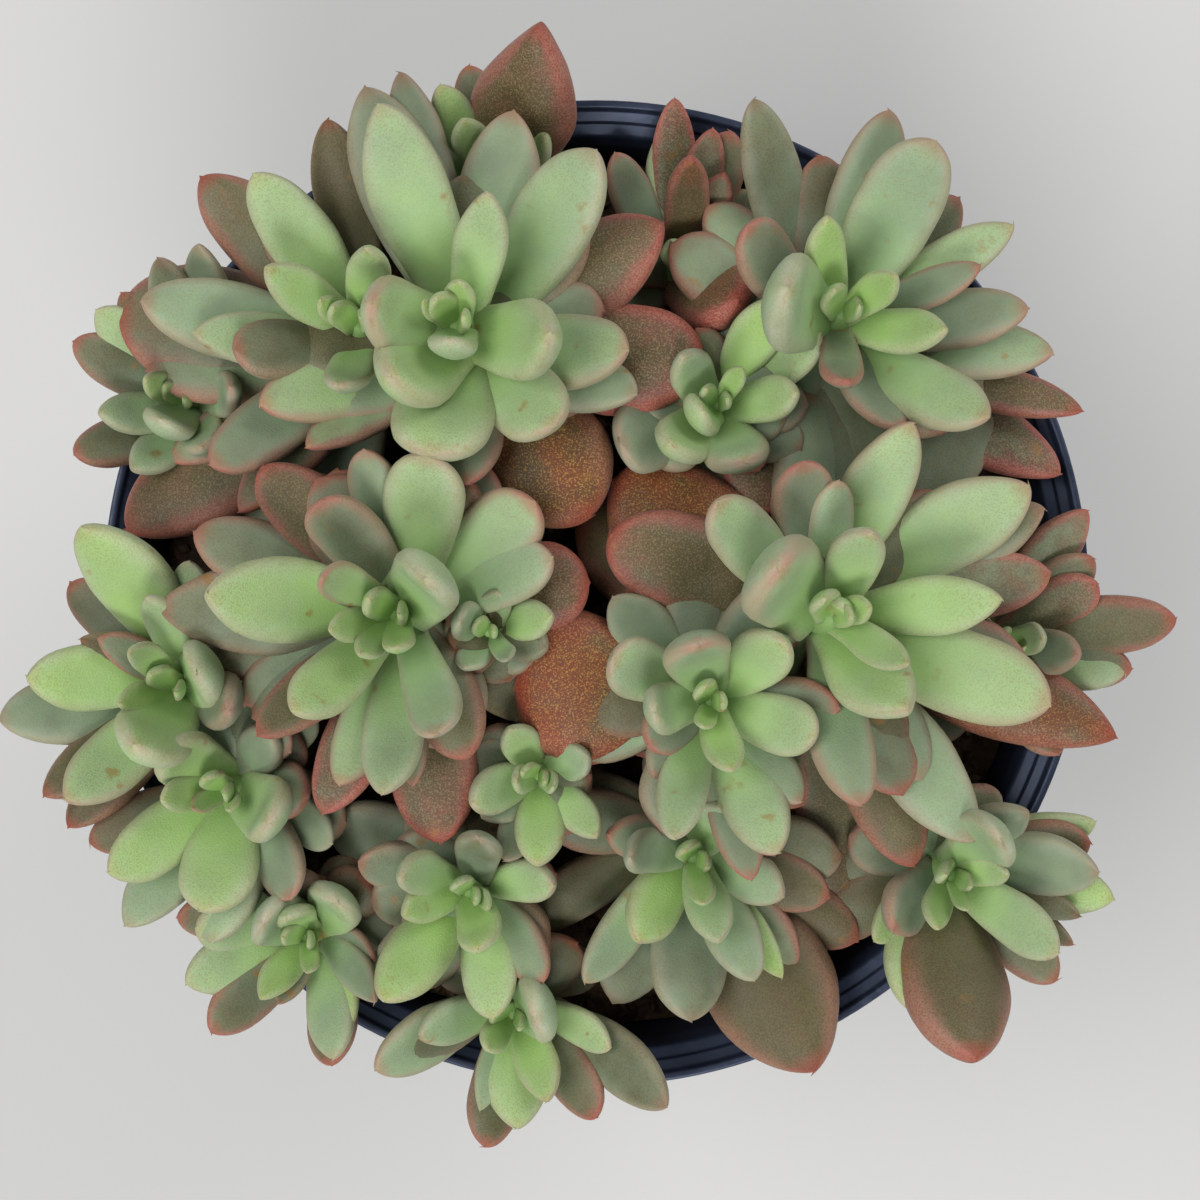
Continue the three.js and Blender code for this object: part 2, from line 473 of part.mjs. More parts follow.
// Points of a leaf in plan, with the heights of its two faces there and how far they follow its tip
function footprint({ head, row }) {
  const [, reach, width, , , blunt] = row;
  const foot = footShare(reach, head.stemRadius / BIG_STEM);
  const { curve, side } = midrib(head, row);
  const points = [];
  for (const t of SETTLE_ALONG) {
    const centre = curve.getPoint(t);
    const along = curve.getTangent(t);
    const over = new THREE.Vector3().crossVectors(along, side).normalize();
    const upright = Math.max(STEEPEST, Math.abs(over.z));
    const half = leafThickness(width) * Math.max(TIP_SHARE, thickShare(t)) / upright;
    const share = smooth(t);
    const halfWidth = 0.5 * width * Math.max(TIP_SHARE, widthShare(t, blunt, foot));
    for (const a of SETTLE_ACROSS) {
      const at = centre.clone().addScaledVector(side, a * halfWidth);
      points.push([at.x, at.y, at.z - KEEL_SHARE * half, at.z + CREST_SHARE * half, share]);
    }
  }
  return points;
}

// By how much two leaves fall short of clearing each other, the first one lying over the second
function shortfall(upper, lower) {
  let raise = 0;
  let sink = 0;
  for (const [x, y, underside, , share] of upper) {
    for (const [otherX, otherY, , top, otherShare] of lower) {
      if (Math.hypot(x - otherX, y - otherY) > SETTLE_NEAR) continue;
      const lack = top + SETTLE_GAP - underside;
      if (lack <= 0) continue;
      raise = Math.max(raise, SETTLE_RAISE * lack / Math.max(share, SETTLE_SHARE));
      sink = Math.max(sink, (1 - SETTLE_RAISE) * lack / Math.max(otherShare, SETTLE_SHARE));
    }
  }
  return [raise, sink];
}

// How far a leaf has to rise to clear the rim and the potting mix
function grounding(points) {
  let raise = 0;
  for (const [x, y, underside, , share] of points) {
    const radius = Math.hypot(x, y);
    const overRim = radius > bandInner - RIM_CLEAR;
    const floor = overRim ? POT_HEIGHT + 2 * GAP : soilTop + SOIL_DOME + GAP;
    if (underside < floor) raise = Math.max(raise, (floor - underside) / Math.max(share, SETTLE_SHARE));
  }
  return raise;
}

function meanHeight(points) {
  return points.reduce((sum, [, , underside, top]) => sum + underside + top, 0) / (2 * points.length);
}

// Which of two leaves lies over the other: the inner one in a rosette, else the higher one
function liesOver(a, b, pointsA, pointsB) {
  const order = (item) => item.row[1] - LIFT_WEIGHT * item.row[3];
  if (a.head === b.head) return order(a) < order(b);
  return meanHeight(pointsA) > meanHeight(pointsB);
}

function settle(items) {
  const first = items.map(footprint);
  const natural = items.map((item) => item.row[3]);
  const pairs = [];
  items.forEach((a, i) => {
    items.slice(i + 1).forEach((b, k) => {
      const j = i + 1 + k;
      const near = first[i].some(([x, y]) => first[j].some(([u, v]) => Math.hypot(x - u, y - v) < NEIGHBOUR));
      if (near) pairs.push(liesOver(a, b, first[i], first[j]) ? [i, j] : [j, i]);
    });
  });
  for (let round = 0; round < SETTLE_ROUNDS; round += 1) {
    const points = items.map(footprint);
    const raise = points.map(() => 0);
    const sink = points.map(() => 0);
    for (const [i, j] of pairs) {
      const [up, down] = shortfall(points[i], points[j]);
      raise[i] = Math.max(raise[i], Math.min(up, SETTLE_STEP));
      sink[j] = Math.max(sink[j], Math.min(down, SETTLE_STEP));
    }
    items.forEach((item, i) => {
      const limit = Math.min(SETTLE_LIMIT, SETTLE_PER_REACH * item.row[1]);
      const free = THREE.MathUtils.clamp(
        item.row[3] + raise[i] - sink[i], natural[i] - limit, natural[i] + limit,
      );
      item.row[3] = Math.max(free, item.row[3] + Math.min(grounding(points[i]), SETTLE_STEP));
    });
  }
}

// One thick leaf along its midrib, from the tip to the base deep in the rosette's heart
function leaf(head, row, grow) {
  const [, reach, width, , , blunt] = row;
  const foot = footShare(reach, head.stemRadius / BIG_STEM);
  const { curve, side } = midrib(head, row);
  const section = width < BROAD_FROM ? SLIM_SECTION : BROAD_SECTION;
  const stations = reach < SMALL_LEAF_REACH ? SMALL_LEAF_RINGS : LEAF_RINGS;
  const rings = stations.map((t) => {
    const centre = curve.getPoint(t);
    const along = curve.getTangent(t);
    if (t === 1) return [centre.addScaledVector(along, grow)];
    if (t === 0) return [centre];
    const over = new THREE.Vector3().crossVectors(along, side).normalize();
    const across = new THREE.Vector3().crossVectors(over, along).normalize();
    const halfWidth = 0.5 * FACET_FILL * width * widthShare(t, blunt, foot) + grow;
    const half = leafThickness(width) * thickShare(t) + 1.5 * grow;
    return section.map(([a, b]) => (
      centre.clone().addScaledVector(across, a * halfWidth).addScaledVector(over, b * half)
    ));
  });
  return drawnOut(rings, section.length);
}

// Short old leaves low on a stem near the rim, on the side that faces out, where no other rosette
// stands in their way
function skirtRows(head, heads) {
  if (head.radius < SKIRT_FROM_RADIUS) return [];
  const outwardTurn = THREE.MathUtils.radToDeg(Math.atan2(head.outward.y, head.outward.x));
  const scale = head.stemRadius / BIG_STEM;
  const free = (turn) => {
    const aim = radians(outwardTurn + turn);
    const x = head.crown.x + SKIRT_REACH * scale * Math.cos(aim);
    const y = head.crown.y + SKIRT_REACH * scale * Math.sin(aim);
    return heads.every((other) => other === head
      || Math.hypot(other.crown.x - x, other.crown.y - y) > SKIRT_CLEAR);
  };
  return SKIRT_TURNS.filter(free).map((turn) => [
    outwardTurn + turn, SKIRT_REACH * scale, SKIRT_WIDTH * scale, SKIRT_LIFT * scale,
    SKIRT_BEND, SKIRT_BLUNT,
  ]);
}

function rosette({ head, rows }, grow) {
  const leaves = rows.map((row) => leaf(head, row, grow));
  return wasm.Manifold.union([stem(head, grow), ...leaves]);
}

function largest(manifold) {
  return manifold.decompose().reduce((best, piece) => (piece.volume() > best.volume() ? piece : best));
}

function part(name, manifold, colour, roughness) {
  const color = new THREE.Color(colour);
  const material = new THREE.MeshStandardMaterial({ color, roughness, metalness: 0 });
  const mesh = new THREE.Mesh(geometryOf(manifold), material);
  mesh.name = name;
  return mesh;
}

// Nothing grows into the rim: a ring round it is kept free
function rimGuard() {
  return solid(revolved([
    [bandInner - RIM_CLEAR, POT_HEIGHT - GUARD_DEPTH],
    [RIM_RADIUS + GAP, POT_HEIGHT - GUARD_DEPTH],
    [RIM_RADIUS + GAP, POT_HEIGHT + GAP],
    [bandInner - GAP, POT_HEIGHT + GAP],
    [bandInner - RIM_CLEAR, POT_HEIGHT - RIM_BAND_DROP],
    [bandInner - RIM_CLEAR, POT_HEIGHT - GUARD_DEPTH],
  ], POT_SIDES));
}

const group = new THREE.Group();
group.add(part("pot", pot(), "#141824", 0.45));

let mix = soil();
const guard = rimGuard();
const placed = [];
const heads = HEADS.map(headFrame);
const plants = heads.map((head, i) => ({ head, rows: [...HEADS[i][5], ...skirtRows(head, heads)] }));
settle(plants.flatMap(({ head, rows }) => rows.map((row) => ({ head, row }))));
for (const plant of plants) {
  let body = rosette(plant, 0).subtract(guard);
  for (const other of placed) body = body.subtract(other);
  group.add(part(plant.head.name, largest(body), "#8fb57c", 0.55));
  placed.push(rosette(plant, GAP));
  mix = mix.subtract(placed.at(-1));
}
group.add(part("soil", largest(mix), "#2a211b", 0.95));

export default group;
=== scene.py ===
import math
import random

import bpy
import numpy as np
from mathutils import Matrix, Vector, noise


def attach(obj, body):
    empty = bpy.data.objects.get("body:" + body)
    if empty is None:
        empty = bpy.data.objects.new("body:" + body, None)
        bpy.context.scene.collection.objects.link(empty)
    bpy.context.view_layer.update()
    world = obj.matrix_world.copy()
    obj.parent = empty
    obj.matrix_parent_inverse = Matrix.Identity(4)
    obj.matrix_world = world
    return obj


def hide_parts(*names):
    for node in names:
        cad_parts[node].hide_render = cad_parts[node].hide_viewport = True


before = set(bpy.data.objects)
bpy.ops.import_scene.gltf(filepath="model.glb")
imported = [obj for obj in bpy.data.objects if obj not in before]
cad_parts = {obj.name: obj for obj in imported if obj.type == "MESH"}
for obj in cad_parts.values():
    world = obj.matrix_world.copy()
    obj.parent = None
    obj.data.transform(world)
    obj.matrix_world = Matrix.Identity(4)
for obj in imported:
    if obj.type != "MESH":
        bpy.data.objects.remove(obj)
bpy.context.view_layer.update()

METRES = 0.001

# The pot
POT_HEIGHT = 108
RIM_RADIUS = 70.5
FOOT_RADIUS = 52
WALL = 1.5
COLLAR_HEIGHT = 12
COLLAR_STEP = 3.6
RIM_LIP_WIDTH = 1.1
RIM_BAND_WIDTH = 3.6
RIM_BAND_DROP = 3.0
FLOOR_TOP = 4.6
FOOT_RECESS = 3
FOOT_RING_WIDTH = 6
PAD_RADIUS = 14
EDGE_CHAMFER = 2
DRAIN_COUNT = 8
DRAIN_RADIUS = 4
DRAIN_CIRCLE = 31
DRILL_SIDES = 40
POT_SIDES = 180
FILLET_STEPS = 5
# How much of an edge a fillet may take up
FILLET_SHARE = 0.45

# The potting mix
SOIL_DROP = 12
SOIL_DOME = 3
GAP = 0.3
TOP_RINGS = 14
TOP_SIDES = 72
# The loose chips start a little inside the wall and a little over the mix
CHIP_INSET = 1.5
CHIP_OVER_MIX = 0.2
CHIP_SIZE = 2.6
CHIP_SUBDIVISIONS = 2
CHIPS_PER_SQUARE_METRE = 160000.0
SMALLEST_CHIP = (0.25, 0.2, 0.12)
LARGEST_CHIP = (0.95, 0.5, 0.3)
CHIP_RELIEF = 1.3
CHIP_RELIEF_PITCH = 1.7
CHIP_SEED = 5

# How the clump was read: from an eye straight above the pot, looking down on the rim
EYE_ABOVE_RIM = 300

# How a rosette grows
STEM_DEPTH = 22
STEM_FOOT_PULL = 0.8
LEAN_PER_MM = 0.0045
CROWN_DROP_PER_STEM = 2.2
BIG_STEM = 3.6
STEM_RISE = 0.4
STEM_CURL = 0.3
SKIRT_TURNS = (-62, -4, 55)
SKIRT_REACH = 23
SKIRT_LIFT = -13
SKIRT_WIDTH = 10
SKIRT_FROM_RADIUS = 20
SKIRT_CLEAR = 16
SKIRT_BEND = 14
SKIRT_BLUNT = 0.6
SKIRT_TONE = 1.1
SKIRT_BLUSH = 0.5
RIM_CLEAR = 3
PLANT_SEED = 20
GOLDEN_TURN = 137.5
BUD_COUNT = 2
FILL_FROM_REACH = 16
MANY_FILLERS = 12
FEW_FILLERS = 8
FILL_RADIUS = 62

# How the leaves settle on each other until none grows through another
SETTLE_ROUNDS = 20
SETTLE_STEP = 1.2
SETTLE_NEAR = 2.2
SETTLE_GAP = 0.3
SETTLE_RAISE = 0.35
SETTLE_LIMIT = 7
SETTLE_PER_REACH = 0.35
SETTLE_ALONG = np.array([0.36, 0.48, 0.6, 0.74, 0.88, 1])
SETTLE_SHARE = 0.4
SETTLE_ACROSS = np.array([-0.8, -0.4, 0, 0.4, 0.8])
LIFT_WEIGHT = 2.5
NEIGHBOUR = 6
KEEL_SHARE = 0.66
CREST_SHARE = 0.4
STEEPEST = 0.35
TIP_SHARE = 0.3

# How a leaf is built: where it is widest and thickest along its midrib, how much of that is left
# at its foot, how thick it is for its width, and how far below the crown it starts
WIDEST_AT = 0.56
WIDEST_SHIFT = 0.12
LEAF_FOOT = 0.46
SHORT_FOOT = 0.5
SHORT_REACH = 24
# How its outline closes from there to the tip: how long it stays wide, and how sharply it ends,
# each for a pointed leaf and with a term for a blunt one
TAPER_START = 1.7
TAPER_HOLD = 1.3
POINTED_END = 0.85
BLUNT_END = 0.4
THICKEST_AT = 0.45
THICK_FOOT = 0.6
THICK_HOLD = 2.4
THICK_PER_WIDTH = 0.28
THICK_EXTRA = 0.5
BASE_DROP_PER_REACH = 0.3
BASE_DROP_PER_WIDTH = 0.15
MIDRIB_PULL = 0.36
RISE_TOP = 3
RISE_DROOP = 0.012
HEART_SLOPE = 0.9
HEART_DROP = 5

# The finished leaf: its mesh, and how its rings crowd towards the tip
LEAF_RINGS = 26
LEAF_SIDES = 24
SMALL_RINGS = 14
SMALL_SIDES = 16
SMALL_WIDTH = 4.2
RING_CROWDING = 1.9
TIP_POINT = 0.3
# How far a leaf may twist (degrees) and sweep aside (a share of its width)
TWIST = 6
SWEEP = 0.05
# A slim leaf is thinner for its width: widths, and the share of the thickness that is left
SLIM_WIDTHS = (3, 7)
SLIM_SHARES = (0.65, 1)
# Its section, as shares of its thickness: a crest with a channel along it, and a keel below
CREST = 0.62
PLUMP_CREST = 0.25
CREST_POWER = 0.8
CHANNEL = 0.12
STEEP_CHANNEL = 0.14
CHANNEL_SPREAD = (0.6, 1.3)
CHANNEL_POWER = 3
KEEL = 0.9
KEEL_POWER = 0.85
KEEL_RIDGE = 0.08
KEEL_RIDGE_POWER = 6
# Short leaves stand steep and have a deeper channel, bronze ones are plump and have none
STEEP_FROM = 1.4
STEEP_REACH = 14
PLUMP_TONE = 0.7
PLUMP_SPAN = 0.6
# Its margin waves a little, its skin is slightly uneven, and no two have quite the same colour
WAVE = 0.035
WAVES = 7
WAVE_SHIFT = 9
UNDULATION = 0.22
UNDULATION_PITCH = 0.16
UNDULATION_SHIFT = 40
TONE_SPREAD = 0.06
BLUSH_SPREAD = 0.04

# The finished stem: its mesh, how it narrows into the heart, and its leaf scars
STEM_RINGS = 44
STEM_SIDES = 20
STEM_PLACES = (0, 0.36, 0.72, 0.88, 0.97, 1)
STEM_SHARES = (1, 1, 1.0, 0.85, 0.5, 0.2)
SCAR_DEPTH = 0.05
SCAR_TWIST = 40
SCAR_RINGS = 75
BARK_ENDS_AT = 0.72
BARK_FADES_OVER = 0.12

# What a rosette's skin knows of each of its points
SKIN_VALUES = ("along", "edge", "under", "tone", "blush", "bark")

# The view: the width that the frame takes in at the rim, and the eye's place off the middle
FRAME_WIDTH_AT_RIM = 171.43
EYE_X = 0.57
EYE_Y = -1.0
SENSOR = 36

# The studio's disc lamps, each with its place and its size in metres and its watts
LAMPS = [
    ("window", (-0.6, 0.0, 1.1), 0.8, 9),
    ("bounce", (0.8, 0.7, 0.8), 0.8, 7.5),
    ("front", (0.0, -0.85, 1.0), 0.5, 9),
]
SKY_STRENGTH = 0.36
FLOOR_REACH = 60000

# Heights and radii that follow from the pot's sizes
collar_foot = POT_HEIGHT - COLLAR_HEIGHT
neck_radius = RIM_RADIUS - COLLAR_STEP - 1
band_inner = RIM_RADIUS - RIM_LIP_WIDTH - RIM_BAND_WIDTH
soil_top = POT_HEIGHT - SOIL_DROP

# The rosettes, highest first: name, place on the rim's plane (x, y), height over the rim, stem
# radius, and each leaf's azimuth, reach, width, lift off its natural height, bend, bluntness, tone
# (0 yellow-green, 0.5 grey-green, 1 dull, 2 bronze) and blush (0 none to 1 red)
HEADS = [
    ("rosette_left", -29.7, -3, 32, 3.6, [
        (172, 25.9, 11.5, 3, 10, 0.35, 0.25, 0.05), (179, 32.9, 13, -3, 8, 0.3, 1, 0.35),
        (119.5, 18.6, 9, 0, 17, 0.8, 0.9, 0.4), (76, 23.2, 11, 1, 14, 0.85, 0.4, 0.25),
        (37.5, 26.3, 11, -1, 13, 0.7, 0.6, 0.3), (19, 24.9, 8.5, -2, 13, 0.6, 0.65, 0.3),
        (45, 7, 10.5, 3, 25, 0.3, 0.3, 0.1), (149, 10.7, 5.5, 1, 18, 0.6, 0.3, 0.4),
        (195.5, 8.6, 4.5, 0, 14, 0.2, 0.1, 0.1), (237, 7, 4.5, 0, 17, 0.2, 0.1, 0.1),
        (282, 5, 4.5, 1, 18, 0.2, 0, 0.15), (225.5, 19.4, 8, 1, 12, 0.6, 0.2, 0.1),
        (268, 25.9, 8.5, 0, 11, 0.5, 0.45, 0.2), (293, 18.8, 7.5, 0, 16, 0.8, 0.55, 0.25),
        (255, 25.5, 7.5, -2, 11, 0.5, 0.5, 0.35), (252, 30, 9.5, -5, 11, 0.5, 0.9, 0.85),
        (223, 25.6, 8, -4, 12, 0.5, 1.2, 0.55), (300, 23.5, 9.5, -4, 14, 0.6, 1.1, 0.6),
        (277, 25, 5, -5, 12, 0.5, 0.9, 0.5), (282.5, 33.5, 12, -7, 12, 0.7, 1.4, 0.85),
        (129, 27.7, 10.5, -5, 13, 0.6, 1.2, 0.7), (98, 23.5, 7.5, -4, 14, 0.7, 0.6, 0.35),
        (157, 30, 10, -5, 10, 0.6, 1, 0.3), (9, 29, 13, -8.5, 13, 0.75, 1.4, 0.85),
    ]),
    ("rosette_right", 34.9, -3.6, 32, 3.6, [
        (68, 29.6, 9.5, 0, 11, 0.4, 0.5, 0.25), (36.5, 32.9, 11.5, -1, 11, 0.5, 0.35, 0.2),
        (27, 33, 9, -4, 11, 0.5, 1, 0.3), (5, 23.4, 8, 1, 11, 0.3, 0.15, 0.05),
        (337, 32.5, 12, -1, 11, 0.6, 0.3, 0.15), (336.5, 43, 13, -3, 13, 0.3, 1.8, 0.75),
        (301.5, 37.2, 11, -2, 10, 0.5, 0.55, 0.25), (305.5, 16.5, 10.5, 2, 18, 0.1, 0.2, 0.15),
        (326, 11.9, 5, 2, 14, 0.2, 0.1, 0.15), (67, 13, 7.5, 1, 18, 0.3, 0.35, 0.15),
        (145, 11, 13, 2, 25, 0.4, 0.4, 0.3), (137, 24, 9, 0, 16, 0.7, 0.5, 0.3),
        (158.5, 35, 13.5, -3, 14, 0.65, 1.3, 0.8), (103, 22.8, 9, -2, 16, 0.8, 0.9, 0.45),
        (90.6, 19.6, 6.5, -5, 14, 0.6, 0.6, 0.3), (277, 27, 8.5, -2, 11, 0.6, 0.8, 0.4),
        (287, 36.9, 11, -6, 11, 0.6, 1.3, 0.65), (271, 46, 13, -10, 8, 0.5, 1.1, 0.75),
        (12.6, 30.7, 9.5, -6, 12, 0.6, 0.9, 0.7), (45, 1.4, 5, 0, 18, 0.2, 0.1, 0.1),
        (18, 4.5, 4, 0, 16, 0.2, 0.1, 0.1), (149, 38, 18, -7, 12, 0.6, 1.8, 0.8),
    ]),
    ("rosette_back", -20.6, 39.6, 32, 3.6, [
        (110, 32, 11, 3, 8, 0.4, 0.45, 0.1), (110.5, 35, 13, -4, 8, 0.4, 0.8, 0.2),
        (74, 18, 7.5, 1, 13, 0.3, 0.3, 0.1), (49, 31.3, 12, -2, 11, 0.5, 0.5, 0.25),
        (73, 30.5, 11, -5, 11, 0.5, 0.7, 0.35), (351, 14.3, 11, 2, 20, 0.1, 0.25, 0.05),
        (348, 25.7, 10.5, -1, 12, 0.5, 0.5, 0.25), (336, 28.7, 9, -4, 12, 0.5, 0.7, 0.2),
        (312, 21.5, 10.5, 0, 18, 0.7, 0.4, 0.2), (277, 24, 9.5, -5, 13, 0.6, 0.8, 0.55),
        (262, 20, 13.5, 0, 14, 0.8, 0.35, 0.15), (226, 12.5, 12, 2, 22, 0.1, 0.2, 0.2),
        (172, 11.5, 10.5, 2, 24, 0.3, 0.4, 0.35), (265, 3.5, 6.5, 1, 24, 0.3, 0.3, 0.1),
        (80, 4.9, 4.5, 0, 15, 0.1, 0, 0.1), (150, 4.5, 3, 0, 15, 0.1, 0, 0.1),
        (206, 30.2, 9.5, -2, 11, 0.5, 0.4, 0.4), (222, 28, 7.5, -5, 11, 0.4, 0.6, 0.45),
        (24, 33, 13, -6, 10, 0.4, 1.2, 0.75), (103, 35.5, 8.5, -5, 8, 0.5, 0.9, 0.4),
        (306, 35, 17.5, -5, 12, 0.55, 2, 0.5), (350, 36.5, 15.5, -3, 10, 0.7, 1.3, 0.95),
    ]),
    ("rosette_front_centre", 16.9, -16, 28, 3, [
        (156, 15.9, 8.5, 0, 18, 0.8, 0.5, 0.25), (105, 8.5, 9, 2, 24, 0.5, 0.5, 0.3),
        (39, 13.5, 8, 1, 19, 0.5, 0.4, 0.2), (188, 8.6, 7, 1, 24, 0.5, 0.4, 0.15),
        (340, 15.2, 8, 0, 16, 0.7, 0.35, 0.1), (284, 9.6, 5.5, 2, 15, 0.2, 0.15, 0.1),
        (250, 3.6, 3, 0, 14, 0.2, 0, 0), (254.5, 19.9, 7, 0, 12, 0.5, 0.45, 0.15),
        (295, 23.2, 9, -1, 11, 0.5, 0.4, 0.2), (314, 18.8, 6.5, -3, 13, 0.5, 0.7, 0.35),
        (282, 25.7, 7, -5, 12, 0.5, 0.8, 0.5), (358, 17.8, 7.5, -3, 16, 0.6, 0.9, 0.65),
        (176, 28.5, 21, -4, 12, 0.75, 2, 0.95), (232, 13.5, 6.5, -5, 14, 0.3, 0.9, 0.3),
        (212, 11, 7.5, -6, 14, 0.5, 1, 0.5), (133, 21, 8.5, -8, 14, 0.5, 0.9, 0),
    ]),
    ("rosette_back_left", -35.1, 39.3, 26, 3.2, [
        (96, 28.6, 8.5, -4, 11, 0.5, 1.4, 0.2), (124, 24.6, 9.5, 0, 12, 0.5, 0.3, 0.1),
        (136.5, 29.3, 11.5, -6, 11, 0.5, 1.2, 0.6), (149, 13.8, 6.5, 2, 17, 0.2, 0.1, 0.1),
        (147, 4.9, 4, 0, 16, 0.2, 0, 0.1), (80, 10, 6, 3, 21, 0.2, 0.1, 0.05),
        (176, 30, 11, -1, 11, 0.5, 0.7, 0.3), (185.5, 22.5, 7.5, 0, 12, 0.35, 0.3, 0.15),
        (196, 17.1, 8.5, -1, 18, 0.8, 1.2, 0.35), (180, 33, 18, -6, 8, 0.75, 1, 0.6),
        (195, 30, 12, -7, 10, 0.6, 0.8, 0.55), (226, 29, 9.5, -2, 11, 0.6, 0.9, 0.4),
        (219, 32.8, 8.5, -6, 11, 0.5, 0.7, 0.5), (223, 44, 14, -9, 8, 0.6, 1.3, 0.75),
        (228, 35.5, 9.5, -7, 10, 0.4, 0.9, 0.8), (240, 32, 8.5, -6, 10, 0.4, 0.9, 0.7),
        (260, 10, 6.5, -3, 20, 0.3, 0.4, 0.2),
    ]),
    ("rosette_back_right", 36.3, 41.1, 25, 3.4, [
        (114, 32.4, 8.5, -1, 12, 0.5, 1, 0.05), (79.5, 28.4, 9, -2, 12, 0.6, 0.8, 0.3),
        (62, 26.4, 12, 0, 12, 0.6, 0.6, 0.25), (27.6, 26.1, 7.5, -1, 11, 0.4, 0.5, 0.2),
        (18, 19.5, 5.5, -3, 12, 0.5, 0.9, 0.5), (359, 25.6, 8.5, -1, 12, 0.5, 0.8, 0.3),
        (346, 29.9, 9, -4, 11, 0.5, 0.7, 0.35), (321, 25.6, 9.5, 0, 12, 0.5, 0.4, 0.2),
        (335.5, 36.5, 7, -8, 10, 0.5, 1.3, 0.8), (321.5, 38.5, 10, -8, 10, 0.5, 1, 0.95),
        (292, 19, 7, -3, 14, 0.5, 0.9, 0.5), (270, 11.2, 6, 0, 17, 0.2, 0.8, 0.6),
        (347, 14.3, 6.5, 1, 17, 0.2, 0.2, 0.2), (165, 9, 13, 3, 20, 0.3, 0.4, 0.1),
        (32, 7.7, 5, 1, 14, 0.2, 0, 0.1), (104, 12.9, 6, 1, 16, 0.2, 0.1, 0.05),
        (143, 18.4, 8.5, 0, 19, 0.8, 0.9, 0.45), (241, 34, 12.5, -6, 10, 0.6, 1.5, 0.9),
    ]),
    ("offset_centre", -15.7, -5.7, 23, 2.2, [
        (150, 4, 5.5, 1, 24, 0.4, 0.6, 0), (17.5, 9.8, 5.5, 1, 13, 0.1, 0.3, 0.05),
        (310, 4.9, 3, 0, 18, 0.3, 0.5, 0), (345, 9, 6, -4, 14, 0.2, 1, 0),
        (240, 6, 4.5, -2, 18, 0.3, 0.6, 0), (75, 6, 4.5, -2, 18, 0.2, 0.6, 0.1),
    ]),
    ("rosette_middle", 17.7, 27.6, 21, 2.6, [
        (61, 16.5, 7, 2, 16, 0.5, 0.1, 0.05), (33, 17.2, 7, 0, 13, 0.5, 0.3, 0.1),
        (8, 11.1, 6.5, 1, 18, 0.3, 0.3, 0.1), (215, 3, 6.5, 1, 24, 0.3, 0.2, 0),
        (53, 5.5, 3, 0, 14, 0.2, 0, 0), (227, 9.5, 8, 2, 25, 0.2, 0.25, 0.05),
        (290, 9.7, 9, 0, 22, 0.5, 0.4, 0.25), (200, 15.5, 10.5, -1, 24, 0.8, 0.6, 0.15),
        (130, 8, 6.5, 0, 20, 0.3, 0.4, 0.1),
    ]),
    ("rosette_left_edge", -61.6, -13.9, 20, 3.2, [
        (117, 26.1, 11.5, 1, 11, 0.45, 0.1, 0.05), (173.4, 19.8, 9.5, 0, 12, 0.4, 0.2, 0.05),
        (190.6, 24, 10.5, -4, 11, 0.4, 0.8, 0.05), (226, 21.2, 9.5, -1, 13, 0.4, 0.4, 0.2),
        (222, 23, 8.5, -4, 11, 0.4, 1.3, 0.4), (240, 9, 11, 2, 25, 0.2, 0.3, 0.1),
        (20, 5, 9.5, 1, 25, 0.5, 0.3, 0.1), (136, 7.3, 4.5, 1, 18, 0.2, 0.1, 0.1),
        (198, 6.8, 4.5, 0, 17, 0.2, 0, 0.1), (101.7, 13.4, 6.5, 1, 18, 0.2, 0.4, 0.05),
        (78, 18.7, 6.5, -4, 14, 0.6, 0.5, 0.1), (341, 9.5, 8.5, -1, 24, 0.2, 1, 0.3),
        (333, 20, 7, -5, 14, 0.7, 1, 0.3), (235, 24, 7.5, -8, 10, 0.5, 1.5, 0.5),
        (150, 14, 6.5, -7, 13, 0.2, 1.5, 0.2), (142, 12, 5.5, -5, 14, 0.2, 0.8, 0.6),
    ]),
    ("rosette_front_right", 14.6, -38.9, 19, 3, [
        (230, 13.8, 8.5, 1, 14, 0.2, 0.1, 0.1), (227, 23.3, 7, -3, 11, 0.5, 0.6, 0.15),
        (268, 22.3, 11, -2, 12, 0.6, 1, 0.1), (282, 5.6, 4, 0, 16, 0.2, 0, 0.05),
        (285, 11.5, 6.5, 0, 14, 0.2, 0.4, 0.05), (296, 18.3, 7.5, -2, 13, 0.5, 0.6, 0.1),
        (306, 20, 5, -3, 12, 0.4, 0.1, 0.1), (173, 9.6, 6.5, 1, 20, 0.4, 0.8, 0.15),
        (160, 13.7, 6.5, -3, 16, 0.2, 0.9, 0.5), (298, 34, 19, -10, 10, 0.35, 1.45, 0.5),
        (60, 9, 7.5, -3, 20, 0.3, 0.6, 0.2), (340, 13, 7.5, -5, 16, 0.3, 0.7, 0.2),
    ]),
    ("offset_front", -8.4, -26.7, 19, 2.4, [
        (199, 9.6, 6.5, 1, 17, 0.4, 0.4, 0.15), (190, 3, 4, 1, 18, 0.3, 0.3, 0),
        (340, 2.5, 3, 1, 18, 0.3, 0.3, 0), (271, 12.3, 7, 1, 10, 0.3, 0.1, 0.05),
        (315, 11.9, 5.5, 0, 13, 0.2, 0.3, 0.15), (122, 8, 5.5, 0, 17, 0.2, 0.3, 0.05),
        (215, 9.5, 6.5, -5, 14, 0.2, 0.8, 0.1), (247, 12.6, 5.5, -4, 12, 0.5, 0.9, 0.1),
        (20, 8, 5.5, -3, 18, 0.3, 0.5, 0.1),
    ]),
    ("rosette_left_front", -54.4, -28.9, 18, 3, [
        (145, 9, 9, 2, 25, 0.3, 0.25, 0.1), (185, 7.6, 5, 0, 18, 0.3, 0.1, 0.05),
